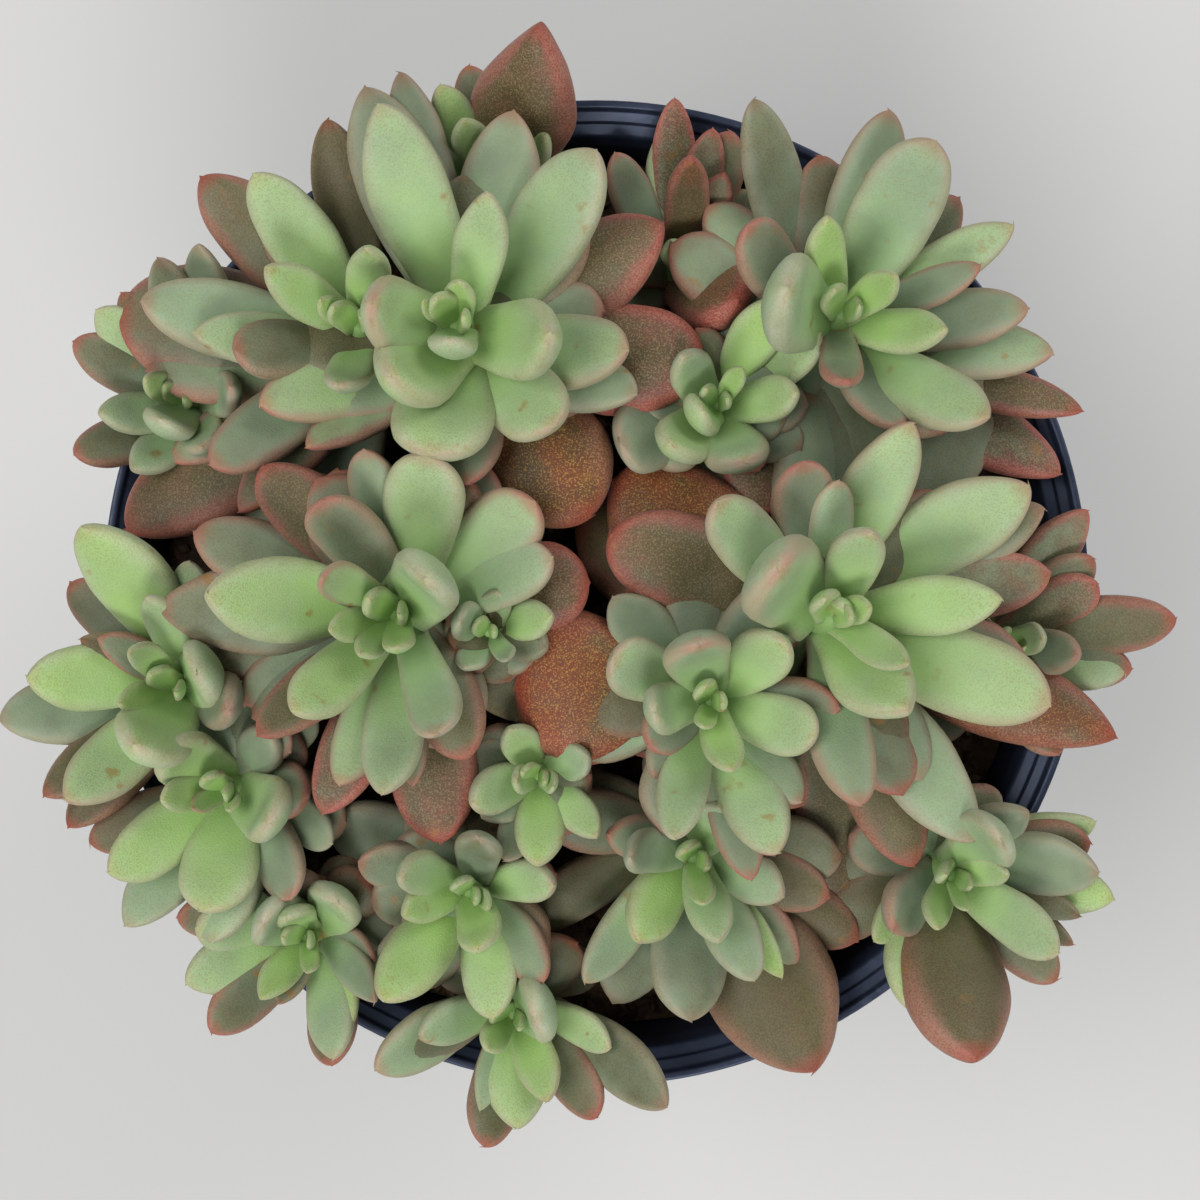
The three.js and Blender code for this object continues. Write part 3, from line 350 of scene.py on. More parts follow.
        (210, 3.8, 3, 0, 18, 0.2, 0.3, 0.5), (315, 3, 3, 0, 18, 0.2, 0, 0.1),
        (330, 8.5, 9.5, 2, 24, 0.3, 0.4, 0.15), (215, 18.7, 9, 0, 12, 0.5, 0.2, 0.05),
        (235, 22.6, 8.5, -4, 11, 0.5, 0.6, 0.05), (261.6, 16.6, 11, 0, 13, 0.6, 0.15, 0.1),
        (306, 18.3, 7.5, -1, 14, 0.7, 0.8, 0.3), (338, 18.1, 6.5, -5, 13, 0.6, 0.8, 0.05),
        (270, 21, 11, -3, 11, 0.6, 0.6, 0.05), (50, 12, 7, -4, 18, 0.4, 0.9, 0.25),
    ]),
    ("rosette_front", -18.4, -43.9, 17, 2.8, [
        (162, 9.9, 6.5, 2, 22, 0.3, 0.3, 0.05), (10, 12.6, 6.5, 0, 16, 0.3, 0.3, 0.1),
        (194, 9.3, 5.5, 1, 16, 0.2, 0.1, 0.05), (284, 7.3, 6.5, 1, 17, 0.2, 0.1, 0.1),
        (231, 18.7, 9, 0, 12, 0.5, 0.05, 0.1), (283, 17.3, 8, -1, 12, 0.5, 0.3, 0.1),
        (160, 16.3, 7.5, -3, 13, 0.6, 0.9, 0.35), (312, 15.9, 7, -3, 13, 0.6, 0.7, 0.45),
        (221, 18, 6.5, -5, 12, 0.5, 1, 0.1), (78, 8.8, 6.5, 0, 19, 0.3, 1, 0),
        (345, 3, 3, 0, 18, 0.2, 0.1, 0),
    ]),
    ("rosette_front_right_edge", 52.4, -41.6, 16, 3, [
        (40, 8, 9.5, 2, 25, 0.5, 0.5, 0.1), (5.4, 19.6, 9.5, 0, 11, 0.4, 0.75, 0.2),
        (325, 16.8, 7.5, 0, 12, 0.5, 0.4, 0.05), (248, 19.4, 9, 0, 12, 0.5, 0.1, 0.05),
        (264.5, 18.9, 6.5, -2, 12, 0.5, 1, 0.05), (242, 7.3, 4.5, 0, 17, 0.2, 0.2, 0.1),
        (280, 3.8, 2.5, 0, 17, 0.2, 0.1, 0), (10, 6.5, 4.5, 0, 16, 0.2, 0.2, 0.05),
        (215, 12, 8.5, -2, 17, 0.3, 0.8, 0.3), (213, 15, 5.5, -5, 13, 0.5, 0.1, 0.05),
        (354, 21.7, 8.5, -5, 10, 0.4, 0.1, 0), (25, 21, 6.5, -6, 11, 0.5, 0.2, 0),
        (345, 17.5, 5.5, -5, 11, 0.3, 1.2, 0.1), (332, 18, 4.5, -6, 11, 0.4, 1.2, 0.2),
        (274.5, 25.4, 16, -7, 11, 0.35, 1.4, 0.55), (48, 14, 7.5, -5, 16, 0.2, 0.9, 0.1),
    ]),
    ("rosette_front_edge", -12.1, -61.7, 13, 2.8, [
        (270, 14.8, 9, 0, 11, 0.3, 0.2, 0.05), (293, 12.2, 6.5, 1, 13, 0.2, 0.05, 0.1),
        (189, 13.2, 6.5, 0, 13, 0.3, 0.5, 0.1), (199, 20.4, 8.5, -3, 11, 0.5, 0.7, 0.2),
        (16, 3.5, 9.5, 2, 25, 0.5, 0.5, 0.15), (348, 14.6, 5.5, 0, 13, 0.5, 0.4, 0.1),
        (332, 25.2, 8.5, -2, 11, 0.5, 1, 0.1), (250, 13.1, 4.5, -2, 12, 0.2, 0.6, 0.1),
        (225, 5, 4.5, 0, 18, 0.2, 0.2, 0.1),
    ]),
    ("rosette_front_left", -42.3, -50.3, 13, 2.8, [
        (150, 6, 8.5, 1, 24, 0.5, 0.6, 0.1), (45, 8, 8.5, 1, 23, 0.4, 0.5, 0.1),
        (283, 4, 3, 0, 17, 0.2, 0.1, 0.1), (285, 17, 7.5, 0, 10, 0.4, 0.5, 0.1),
        (300, 14, 5.5, -3, 12, 0.4, 0.1, 0.1), (320, 13.5, 5.5, -1, 13, 0.2, 0.8, 0.3),
        (235, 9.5, 5, 0, 14, 0.2, 0.1, 0.05), (350, 11, 4.5, -3, 16, 0.2, 1, 0.5),
        (250, 9, 4.5, -4, 14, 0.2, 1, 0.3), (115, 4, 5.5, 2, 20, 0.2, 0.2, 0.05),
        (170, 15, 9.5, -6, 13, 0.6, 0.4, 0.05), (200, 17, 8.5, -4, 12, 0.5, 0.4, 0),
    ]),
    ("offset_back_edge", -15.1, 60.4, 12, 2.4, [
        (120, 14, 6.5, 0, 12, 0.5, 0.2, 0.05), (117, 8, 5.5, 2, 18, 0.2, 0.2, 0),
        (32, 9.3, 6.5, 0, 16, 0.2, 0.2, 0), (70, 12, 7, -1, 12, 0.5, 0.4, 0.1),
        (160, 12, 6.5, -1, 13, 0.5, 0.4, 0.1), (250, 7, 6.5, 1, 20, 0.3, 0.5, 0.1),
        (320, 8, 6.5, 0, 18, 0.3, 0.6, 0.2), (71, 21.9, 15, -3, 8, -0.1, 1.5, 0.8),
    ]),
    ("offset_right_edge", 60.2, -7.6, 12, 2.6, [
        (62, 21.7, 7.5, 0, 11, 0.4, 0.8, 0.8), (37, 14.5, 7.5, 0, 13, 0.6, 1, 0.75),
        (10.6, 23, 8.5, 0, 10, 0.5, 1.2, 0.6), (343, 16, 7.5, -1, 12, 0.5, 0.4, 0.1),
        (350, 9, 6.5, 2, 18, 0.3, 0.9, 0.4), (160, 8, 6.5, 2, 20, 0.3, 0.6, 0.2),
        (235, 9, 6.5, 1, 18, 0.3, 0.6, 0.2), (20, 4, 4.5, 2, 18, 0.2, 0.3, 0.1),
    ]),
    ("offset_left_edge", -60, 27.9, 12, 2.6, [
        (132, 17, 7.5, 0, 12, 0.5, 0.3, 0.05), (193.6, 11.2, 6.5, 0, 14, 0.3, 0.5, 0.1),
        (238, 12, 6.5, 0, 14, 0.3, 0.5, 0.1), (233, 3.8, 7.5, 2, 24, 0.5, 0.6, 0.1),
        (149, 5, 4.5, 2, 17, 0.2, 0, 0.05), (98, 20, 7.5, -4, 12, 0.5, 1, 0.1),
        (81, 22, 7.5, -7, 11, 0.5, 0.8, 0.2), (118, 16.9, 6.5, -3, 12, 0.5, 1.4, 0.4),
        (10, 8, 6.5, 1, 19, 0.3, 0.6, 0.2), (300, 8, 6.5, 0, 18, 0.3, 0.6, 0.2),
    ]),
    ("rosette_back_low", 12.4, 47.9, 9, 3, [
        (93, 22.8, 6.5, 0, 12, 0.5, 0.9, 0.85), (77, 19, 6, 0, 12, 0.5, 1, 0.8),
        (84, 14.5, 6.5, 2, 16, 0.3, 1.6, 0.75), (64, 13.4, 6, -1, 14, 0.3, 1, 0.7),
        (99, 18.6, 6.5, -4, 12, 0.5, 0.4, 0.1), (123, 18, 6.5, -2, 12, 0.5, 0.9, 0.5),
        (322, 10, 12.5, 4, 18, 0.4, 1.7, 0.85), (20, 12, 7.5, -2, 17, 0.3, 1, 0.7),
        (170, 12, 7.5, -2, 17, 0.3, 1, 0.7),
    ]),
]

# Broad old leaves deep between the rosettes: the rosette, then the leaf as in its rows
LOW_LEAVES = [
    ("rosette_right", 161, 40, 17, -12, 10, 0.6, 1.6, 0.6),
    ("rosette_front", 150, 23, 11, -8, 12, 0.6, 0.9, 0.2),
    ("rosette_front_right", 238, 23, 11, -9, 12, 0.6, 0.9, 0.1),
]


# Mesh building


def srgb(red, green, blue):
    """A display colour, 0 to 255 a channel, as the linear one that a shader takes."""
    shares = [channel / 255 for channel in (red, green, blue)]
    linear = [share / 12.92 if share < 10 / 255 else ((share + 0.055) / 1.055) ** 2.4 for share in shares]
    return (*linear, 1)


def unit(vector):
    """Each vector at length 1."""
    return vector / np.linalg.norm(vector, axis=-1, keepdims=True)


def smooth(x):
    """An even S from 0 to 1."""
    x = np.clip(x, 0, 1)
    return x * x * (3 - 2 * x)


def mesh_object(name, points, faces, material):
    """A smooth-shaded object at the origin, from points in millimetres."""
    mesh = bpy.data.meshes.new(name)
    mesh.from_pydata((np.asarray(points, dtype=float) * METRES).tolist(), [], faces)
    mesh.polygons.foreach_set("use_smooth", [True] * len(mesh.polygons))
    mesh.materials.append(material)
    thing = bpy.data.objects.new(name, mesh)
    bpy.context.collection.objects.link(thing)
    return thing


def tube_faces(rings, sides, first=0):
    """Faces of a grid of rings between two poles. The vertices are the first pole, the rings and the
    last pole."""
    faces = []
    start = first + 1
    last = start + rings * sides
    for j in range(sides):
        k = (j + 1) % sides
        faces.append((first, start + k, start + j))
        for i in range(rings - 1):
            near = start + i * sides
            far = near + sides
            faces.append((near + j, near + k, far + k, far + j))
        end = start + (rings - 1) * sides
        faces.append((last, end + j, end + k))
    return faces


class Bezier:
    """A cubic curve through space, read at many places at once."""

    def __init__(self, *handles):
        self.handles = np.array(handles, dtype=float)

    def point(self, t):
        t = np.asarray(t, dtype=float)[..., None]
        a, b, c, d = self.handles
        return (1 - t) ** 3 * a + 3 * (1 - t) ** 2 * t * b + 3 * (1 - t) * t**2 * c + t**3 * d

    def along(self, t):
        t = np.asarray(t, dtype=float)[..., None]
        a, b, c, d = self.handles
        return unit((1 - t) ** 2 * (b - a) + 2 * (1 - t) * t * (c - b) + t**2 * (d - c))

# The clump: where each rosette and each leaf grows


def wall_radius(height):
    """How far out the pot's wall stands at a height."""
    return FOOT_RADIUS + (neck_radius - FOOT_RADIUS) * height / collar_foot


def inner_radius(height):
    return wall_radius(height) - WALL


def lifted(x, y, height):
    """A point seen from the eye at (x, y) on the rim's plane, but lying at a height over the rim."""
    share = (EYE_ABOVE_RIM - height) / EYE_ABOVE_RIM
    return np.array([x * share, y * share, POT_HEIGHT + height])


class Head:
    """Where a rosette grows: its crown, the way it leans, and its stem down into the soil."""

    def __init__(self, name, x, y, height, stem_radius, rows):
        self.name, self.x, self.y, self.height, self.stem_radius = name, x, y, height, stem_radius
        self.scale = stem_radius / BIG_STEM
        self.crown = lifted(x, y, height)
        self.crown[2] -= CROWN_DROP_PER_STEM * stem_radius
        flat = self.crown * (1, 1, 0)
        self.radius = np.linalg.norm(flat)
        self.outward = unit(flat)
        lean = LEAN_PER_MM * self.radius
        self.up = np.array([0, 0, math.cos(lean)]) + self.outward * math.sin(lean)
        foot_x, foot_y = self.crown[:2] * STEM_FOOT_PULL
        self.foot = np.array([foot_x, foot_y, soil_top - STEM_DEPTH])
        self.leaves = [Leaf(self, *row) for row in rows]

    def stem_path(self):
        length = np.linalg.norm(self.crown - self.foot)
        return Bezier(
            self.foot,
            self.foot + (0, 0, length * STEM_RISE),
            self.crown - self.up * length * STEM_CURL,
            self.crown,
        )


def width_share(t, blunt, foot):
    """A leaf's half width along its midrib, as a share of the full one. foot is that at its base."""
    t = np.asarray(t, dtype=float)
    widest = WIDEST_AT + WIDEST_SHIFT * blunt
    past = np.clip((t - widest) / (1 - widest), 0, 1)
    tip = np.clip(1 - past ** (TAPER_START + TAPER_HOLD * blunt), 0, 1) ** (POINTED_END - BLUNT_END * blunt)
    return np.where(t < widest, foot + (1 - foot) * smooth(t / widest), tip)


def thick_share(t):
    """A leaf's thickness along its midrib, as a share of the full one."""
    past = np.clip((t - THICKEST_AT) / (1 - THICKEST_AT), 0, 1)
    foot = THICK_FOOT + (1 - THICK_FOOT) * smooth(t / THICKEST_AT)
    return np.where(t < THICKEST_AT, foot, np.sqrt(np.clip(1 - past**THICK_HOLD, 0, 1)))


class Leaf:
    """One leaf of a rosette, as its row gives it."""

    def __init__(self, head, azimuth, reach, width, lift, bend, blunt, tone, blush):
        self.head, self.azimuth, self.reach, self.width = head, azimuth, reach, width
        self.lift, self.bend, self.blunt, self.tone, self.blush = lift, bend, blunt, tone, blush

    def thickness(self):
        return THICK_PER_WIDTH * self.width + THICK_EXTRA

    def foot(self):
        """How wide its foot is, as a share of its full width: a short leaf clasps the stem."""
        return LEAF_FOOT + SHORT_FOOT * max(0, 1 - self.reach / (SHORT_REACH * self.head.scale))

    def natural_rise(self):
        """How far over the head the tip naturally stands, by the leaf's reach."""
        r = self.reach / self.head.scale
        return self.head.scale * min(RISE_TOP - RISE_DROOP * r * r, HEART_SLOPE * r - HEART_DROP)

    def midrib(self):
        """The curve from the stem out and up to the tip, and the level direction across it."""
        head = self.head
        turn = math.radians(self.azimuth)
        flat = np.array([math.cos(turn), math.sin(turn), 0])
        tip = lifted(
            head.x + self.reach * flat[0],
            head.y + self.reach * flat[1],
            head.height + self.natural_rise() + self.lift,
        )
        out = unit(flat - head.up * flat.dot(head.up))
        base = head.crown - head.up * (BASE_DROP_PER_REACH * self.reach + BASE_DROP_PER_WIDTH * self.width)
        chord = tip - base
        rise = math.atan2(chord.dot(head.up), chord.dot(out))
        pull = np.linalg.norm(chord) * MIDRIB_PULL
        bend = math.radians(self.bend)

        def aim(angle):
            return out * math.cos(angle) + head.up * math.sin(angle)

        curve = Bezier(base, base + aim(rise - bend) * pull, tip - aim(rise + bend) * pull, tip)
        return curve, unit(np.cross(head.up, out))

    def footprint(self):
        """Points of the leaf in plan, with the heights of its two faces there and how far they
        follow its tip: rows of x, y, underside, top and share."""
        curve, side = self.midrib()
        t = SETTLE_ALONG
        centre = curve.point(t)
        over = unit(np.cross(curve.along(t), side))
        upright = np.maximum(STEEPEST, abs(over[:, 2]))
        half = self.thickness() * np.maximum(TIP_SHARE, thick_share(t)) / upright
        half_width = 0.5 * self.width * np.maximum(TIP_SHARE, width_share(t, self.blunt, self.foot()))
        across = SETTLE_ACROSS[None, :, None] * half_width[:, None, None] * side
        at = centre[:, None, :] + across
        spread = np.ones(len(SETTLE_ACROSS))
        return np.stack([
            at[..., 0],
            at[..., 1],
            at[..., 2] - KEEL_SHARE * np.outer(half, spread),
            at[..., 2] + CREST_SHARE * np.outer(half, spread),
            np.outer(smooth(t), spread),
        ], axis=-1).reshape(-1, 5)


def lies_over(a, b, points_a, points_b):
    """Which of two leaves lies over the other: the inner one in a rosette, else the higher one."""
    if a.head is b.head:
        return a.reach - LIFT_WEIGHT * a.lift < b.reach - LIFT_WEIGHT * b.lift
    return points_a[:, 2:4].mean() > points_b[:, 2:4].mean()


def crossing_pairs(leaves, points, moving):
    """Every two neighbouring leaves of which one can move, the upper one first."""
    low = np.array([p[:, :2].min(axis=0) for p in points]) - NEIGHBOUR
    high = np.array([p[:, :2].max(axis=0) for p in points])
    pairs = []
    for i, leaf in enumerate(leaves):
        for j in range(i + 1, len(leaves)):
            if not (moving[i] or moving[j]):
                continue
            if (low[i] > high[j]).any() or (low[j] > high[i]).any():
                continue
            gap = points[i][:, None, :2] - points[j][None, :, :2]
            if np.hypot(gap[..., 0], gap[..., 1]).min() >= NEIGHBOUR:
                continue
            pairs.append((i, j) if lies_over(leaf, leaves[j], points[i], points[j]) else (j, i))
    return np.array(pairs)


def grounding(points):
    """How far a leaf has to rise to clear the rim and the potting mix."""
    over_rim = np.hypot(points[:, 0], points[:, 1]) > band_inner - RIM_CLEAR
    floor = np.where(over_rim, POT_HEIGHT + 2 * GAP, soil_top + SOIL_DOME + GAP)
    lack = (floor - points[:, 2]) / np.maximum(points[:, 4], SETTLE_SHARE)
    return max(0, lack.max())


def settle(leaves, moving):
    """Lifts and sinks the moving leaves until they lie clear of each other and of the others."""
    moving = np.array(moving)
    natural = np.array([leaf.lift for leaf in leaves], dtype=float)
    points = np.array([leaf.footprint() for leaf in leaves])
    pairs = crossing_pairs(leaves, points, moving)
    for _ in range(SETTLE_ROUNDS):
        upper = points[pairs[:, 0]][:, :, None, :]
        lower = points[pairs[:, 1]][:, None, :, :]
        near = np.hypot(upper[..., 0] - lower[..., 0], upper[..., 1] - lower[..., 1]) <= SETTLE_NEAR
        lack = np.where(near, np.maximum(0, lower[..., 3] + SETTLE_GAP - upper[..., 2]), 0)
        up = (SETTLE_RAISE * lack / np.maximum(upper[..., 4], SETTLE_SHARE)).max(axis=(1, 2))
        down = ((1 - SETTLE_RAISE) * lack / np.maximum(lower[..., 4], SETTLE_SHARE)).max(axis=(1, 2))
        raised = np.zeros(len(leaves))
        sunk = np.zeros(len(leaves))
        np.maximum.at(raised, pairs[:, 0], np.minimum(up, SETTLE_STEP))
        np.maximum.at(sunk, pairs[:, 1], np.minimum(down, SETTLE_STEP))
        for i in np.flatnonzero(moving):
            leaf = leaves[i]
            limit = min(SETTLE_LIMIT, SETTLE_PER_REACH * leaf.reach)
            free = np.clip(leaf.lift + raised[i] - sunk[i], natural[i] - limit, natural[i] + limit)
            leaf.lift = max(free, leaf.lift + min(grounding(points[i]), SETTLE_STEP))
            points[i] = leaf.footprint()


def skirt(head, heads):
    """Short old leaves low on a stem near the rim, on the side that faces out, where no other
    rosette stands in their way."""
    if head.radius < SKIRT_FROM_RADIUS:
        return []
    outward_turn = math.degrees(math.atan2(head.outward[1], head.outward[0]))
    leaves = []
    for turn in SKIRT_TURNS:
        aim = math.radians(outward_turn + turn)
        spot = head.crown[:2] + SKIRT_REACH * head.scale * np.array([math.cos(aim), math.sin(aim)])
        others = [other.crown[:2] for other in heads if other is not head]
        if min(np.hypot(*(spot - other)) for other in others) <= SKIRT_CLEAR:
            continue
        leaves.append(Leaf(
            head, outward_turn + turn, SKIRT_REACH * head.scale, SKIRT_WIDTH * head.scale,
            SKIRT_LIFT * head.scale, SKIRT_BEND, SKIRT_BLUNT, SKIRT_TONE, SKIRT_BLUSH,
        ))
    return leaves


# Nodes, for the finishes and for what repeats


class Nodes:
    """A node tree, built one node at a time."""

    def __init__(self, tree):
        self.tree = tree

    def feed(self, socket, value):
        """Links a node's output to a socket, or sets the socket itself."""
        if isinstance(value, bpy.types.NodeSocket):
            self.tree.links.new(value, socket)
        else:
            socket.default_value = value

    def add(self, kind, result, sockets, **settings):
        """Adds a node with its settings made and its sockets fed, and gives the output that is wanted."""
        node = self.tree.nodes.new(kind)
        for name, value in settings.items():
            setattr(node, name, value)
        for socket, value in sockets.items():
            self.feed(node.inputs[socket], value)
        return node.outputs[result]


class Recipe(Nodes):
    """A Geometry Nodes tree with a named input for each value."""

    def __init__(self, name, values):
        super().__init__(bpy.data.node_groups.new(name, "GeometryNodeTree"))
        self.values = values
        new_socket = self.tree.interface.new_socket
        new_socket("Geometry", in_out="INPUT", socket_type="NodeSocketGeometry")
        new_socket("Geometry", in_out="OUTPUT", socket_type="NodeSocketGeometry")
        for label, value in values.items():
            kind = "NodeSocketInt" if isinstance(value, int) else "NodeSocketFloat"
            new_socket(label, in_out="INPUT", socket_type=kind)
        self.given = self.tree.nodes.new("NodeGroupInput").outputs

    def copied(self, points, piece, **sockets):
        """A piece set on each point, as real mesh."""
        sockets.update(Points=points, Instance=piece)
        copies = self.add("GeometryNodeInstanceOnPoints", "Instances", sockets)
        return self.add("GeometryNodeRealizeInstances", "Geometry", {"Geometry": copies})

    def make(self, thing, geometry):
        """Keeps the geometry as the thing's plain mesh, in the thing's own material."""
        material = thing.data.materials[0]
        made = self.add("GeometryNodeSetMaterial", "Geometry", {"Geometry": geometry, "Material": material})
        self.feed(self.tree.nodes.new("NodeGroupOutput").inputs["Geometry"], made)
        modifier = thing.modifiers.new(self.tree.name, "NODES")
        modifier.node_group = self.tree
        for item in self.tree.interface.items_tree:
            if item.in_out == "INPUT" and item.name in self.values:
                modifier[item.identifier] = self.values[item.name]
        graph = bpy.context.evaluated_depsgraph_get()
        mesh = bpy.data.meshes.new_from_object(thing.evaluated_get(graph), depsgraph=graph)
        thing.modifiers.clear()
        thing.data = mesh


class Finish(Nodes):
    """A material's node tree. Its colours are given as displayed, 0 to 255 a channel."""

    def __init__(self, name):
        self.material = bpy.data.materials.new(name)
        self.material.use_nodes = True
        super().__init__(self.material.node_tree)
        self.shader = self.tree.nodes["Principled BSDF"]
        self.place = self.tree.nodes.new("ShaderNodeTexCoord").outputs["Object"]

    def attribute(self, name):
        return self.add("ShaderNodeAttribute", "Fac", {}, attribute_name=name)

    def noise(self, grain, detail=2.0):
        """Even noise from 0 to 1, its grain in millimetres."""
        sockets = {"Vector": self.place, "Scale": 1 / (grain * METRES), "Detail": detail}
        return self.add("ShaderNodeTexNoise", "Fac", sockets)

    def math(self, operation, first, second, clamp=False):
        sockets = {0: first, 1: second}
        return self.add("ShaderNodeMath", 0, sockets, operation=operation, use_clamp=clamp)

    def times(self, first, second):
        return self.math("MULTIPLY", first, second)

    def step(self, value, low, high, bottom=0.0, top=1.0):
        """A soft step: bottom where the value is under low, top where it is over high."""
        sockets = {0: value, 1: low, 2: high, 3: bottom, 4: top}
        return self.add("ShaderNodeMapRange", 0, sockets, interpolation_type="SMOOTHSTEP")

    def mix(self, share, first, second):
        """The first colour, with a share of the second over it."""
        first, second = [srgb(*c) if isinstance(c, tuple) else c for c in (first, second)]
        return self.add("ShaderNodeMix", 2, {0: share, 6: first, 7: second}, data_type="RGBA")

    def ramp(self, value, stops):
        node = self.tree.nodes.new("ShaderNodeValToRGB")
        elements = node.color_ramp.elements
        while len(elements) < len(stops):
            elements.new(0.5)
        for element, (place, colour) in zip(elements, stops):
            element.position = place
            element.color = srgb(*colour)
        self.feed(node.inputs[0], value)
        return node.outputs[0]

    def bump(self, height, depth, strength, under=None):
        """Relief of a depth in millimetres, over the relief under it."""
        sockets = {"Strength": strength, "Distance": depth * METRES, "Height": height}
        if under is not None:
            sockets["Normal"] = under
        return self.add("ShaderNodeBump", "Normal", sockets)

    def shade(self, **values):
        """Feeds the shader's sockets by name, with spaces as underscores, and gives the material."""
        for name, value in values.items():
            self.feed(self.shader.inputs[name.replace("_", " ")], value)
        return self.material


class LeafSkin(Finish):
    """Waxy succulent skin, coloured by each leaf's own tone and blush. It reddens with the blush,
    most at tip and margin, in soft patches."""

    def __init__(self):
        super().__init__("succulent_leaf_skin")
        self.along, self.edge, self.under, age, self.blush, self.bark = map(self.attribute, SKIN_VALUES)
        self.mottle = self.noise(7, 3)
        self.cloud = self.noise(2.6, 3)
        self.grain = self.noise(0.24, 1)
        self.margin = self.step(self.edge, 0.5, 1.0)
        self.tipward = self.step(self.along, 0.45, 1.0)
        uneven = self.times(self.math("SUBTRACT", self.mottle, 0.5), 0.5)
        self.tone = self.times(self.math("ADD", age, uneven), 0.5)
        outward = self.math("ADD", self.times(self.tipward, 0.28), self.times(self.margin, 0.54))
        even = self.times(self.blush, self.math("ADD", outward, 0.12))
        patch = self.times(self.math("SUBTRACT", self.cloud, 0.5), self.times(self.blush, 0.6))
        self.redness = self.math("ADD", even, patch, True)

    def greens(self):
        """Yellow-green, grey-green or dull bronze by the tone, fresher near the heart with painted shade
        darkening it towards each leaf's foot, and speckled towards the margin."""
        colour = self.ramp(self.tone, [
            (0.0, (148, 180, 104)),
            (0.15, (150, 175, 122)),
            (0.3, (132, 154, 120)),
            (0.45, (108, 124, 100)),
            (0.62, (86, 86, 56)),
            (1.0, (88, 76, 42)),
        ])
        heartward = self.step(self.along, 0.2, 0.85, 0.5, 0.0)
        fresh = self.times(heartward, self.step(self.tone, 0.2, 0.5, 1.0, 0.0))
        colour = self.mix(fresh, colour, (138, 178, 80))
        dots = self.times(self.step(self.grain, 0.42, 0.6), 0.12)
        colour = self.mix(dots, colour, (98, 124, 78))
        # Painted shade: the green darkens towards the leaf's foot, where the leaves over it would shade it.
        foot_shade = self.step(self.along, 0.05, 0.55, 0.4, 0.0)
        colour = self.mix(foot_shade, colour, (84, 118, 58))
        outer = self.math("MAXIMUM", self.margin, self.tipward)
        fringe = self.times(outer, self.step(self.grain, 0.5, 0.62, 0.05, 0.4))
        colour = self.mix(fringe, colour, (126, 112, 72))
        old = self.times(self.step(self.tone, 0.4, 0.8), 0.55)
        return self.mix(old, colour, (66, 50, 26))

    def flushed(self, colour):
        """Tan and then red on a blushed leaf, rust on a bronze one, both stippled with gold."""
        tan = self.times(self.step(self.blush, 0.4, 1.0), self.step(self.cloud, 0.3, 0.7, 0.5, 0.95))
        colour = self.mix(tan, colour, (94, 84, 52))
        red = self.ramp(self.redness, [
            (0.0, (84, 74, 46)),
            (0.3, (108, 76, 60)),
            (0.55, (132, 78, 70)),
            (0.85, (166, 50, 48)),
        ])
        cover = self.times(self.step(self.redness, 0.06, 0.55), self.step(self.grain, 0.4, 0.6, 0.92, 0.6))
        bronze = self.step(self.tone, 0.75, 1.0)
        colour = self.mix(cover, colour, self.mix(bronze, red, (128, 46, 22)))
        rust = self.times(bronze, self.step(self.mottle, 0.4, 0.62, 0.1, 0.6))
        colour = self.mix(rust, colour, (122, 58, 30))
        specked = self.math("MAXIMUM", self.times(bronze, 0.4), self.step(self.blush, 0.5, 1.0, 0.0, 0.26))
        gold = self.mix(bronze, (186, 152, 128), (190, 146, 74))
        return self.mix(self.times(self.step(self.grain, 0.53, 0.66), specked), colour, gold)

    def edged(self, colour):
        """A brown, dull or rosy margin, dark red freckles, and a red point."""
        rim = self.times(self.step(self.edge, 0.7, 1.0), self.step(self.along, 0.3, 0.9, 0.12, 0.34))
        rim = self.times(rim, self.step(self.grain, 0.4, 0.6, 0.3, 1.0))
        rim = self.times(rim, self.step(self.blush, 0.0, 0.35, 0.6, 1.0))
        colour = self.mix(rim, colour, (168, 126, 98))
        dull = self.times(self.margin, self.step(self.along, 0.2, 0.9, 0.1, 0.34))
        colour = self.mix(dull, colour, self.mix(self.blush, (138, 134, 98), (168, 100, 90)))
        freckles = self.step(self.noise(0.7, 1), 0.56, 0.66)
        freckles = self.times(freckles, self.step(self.redness, 0.25, 0.7, 0.02, 0.35))
        colour = self.mix(freckles, colour, (140, 50, 36))
        point = self.times(self.step(self.along, 0.92, 1.0), self.step(self.blush, 0.0, 0.5, 0.2, 0.6))
        return self.mix(point, colour, (150, 62, 50))

    def weathered(self, colour):
        """The pale bloom, real wax and a painted sheen along the margins, dark pits on old and red
        leaves, a few scars, and the stem's bark.
        """
        # The bloom is partly real wax and partly a painted sheen: it pales the margins, where the skin
        # turns from the eye.
        bloom_and_sheen = self.step(self.edge, 0.35, 1.0, 0.03, 0.2)
        bloom_and_sheen = self.times(bloom_and_sheen, self.step(self.cloud, 0.3, 0.7, 0.5, 1.0))
        bloom_and_sheen = self.times(bloom_and_sheen, self.step(self.grain, 0.4, 0.6, 1.15, 0.75))
        bloom_and_sheen = self.math("ADD", bloom_and_sheen, self.times(self.under, 0.1))
        bloom_and_sheen = self.times(bloom_and_sheen, self.step(self.tone, 0.4, 0.75, 1.0, 0.25))
        bloom_and_sheen_colour = self.mix(self.step(self.redness, 0.1, 0.5), (204, 210, 196), (188, 140, 130))
        colour = self.mix(bloom_and_sheen, colour, bloom_and_sheen_colour)
        ripe = self.math("MAXIMUM", self.blush, self.times(self.tone, 1.2))
        pits = self.times(self.step(self.grain, 0.5, 0.4), self.step(ripe, 0.3, 1.0, 0.05, 0.4))
        colour = self.mix(pits, colour, (62, 46, 30))
        scars = self.times(self.step(self.noise(4.5, 3), 0.66, 0.76), 0.6)
        colour = self.mix(scars, colour, (138, 98, 44))
        wood = self.ramp(self.noise(1.2, 4), [(0.3, (70, 62, 44)), (0.7, (128, 118, 84))])
        return self.mix(self.bark, colour, wood)


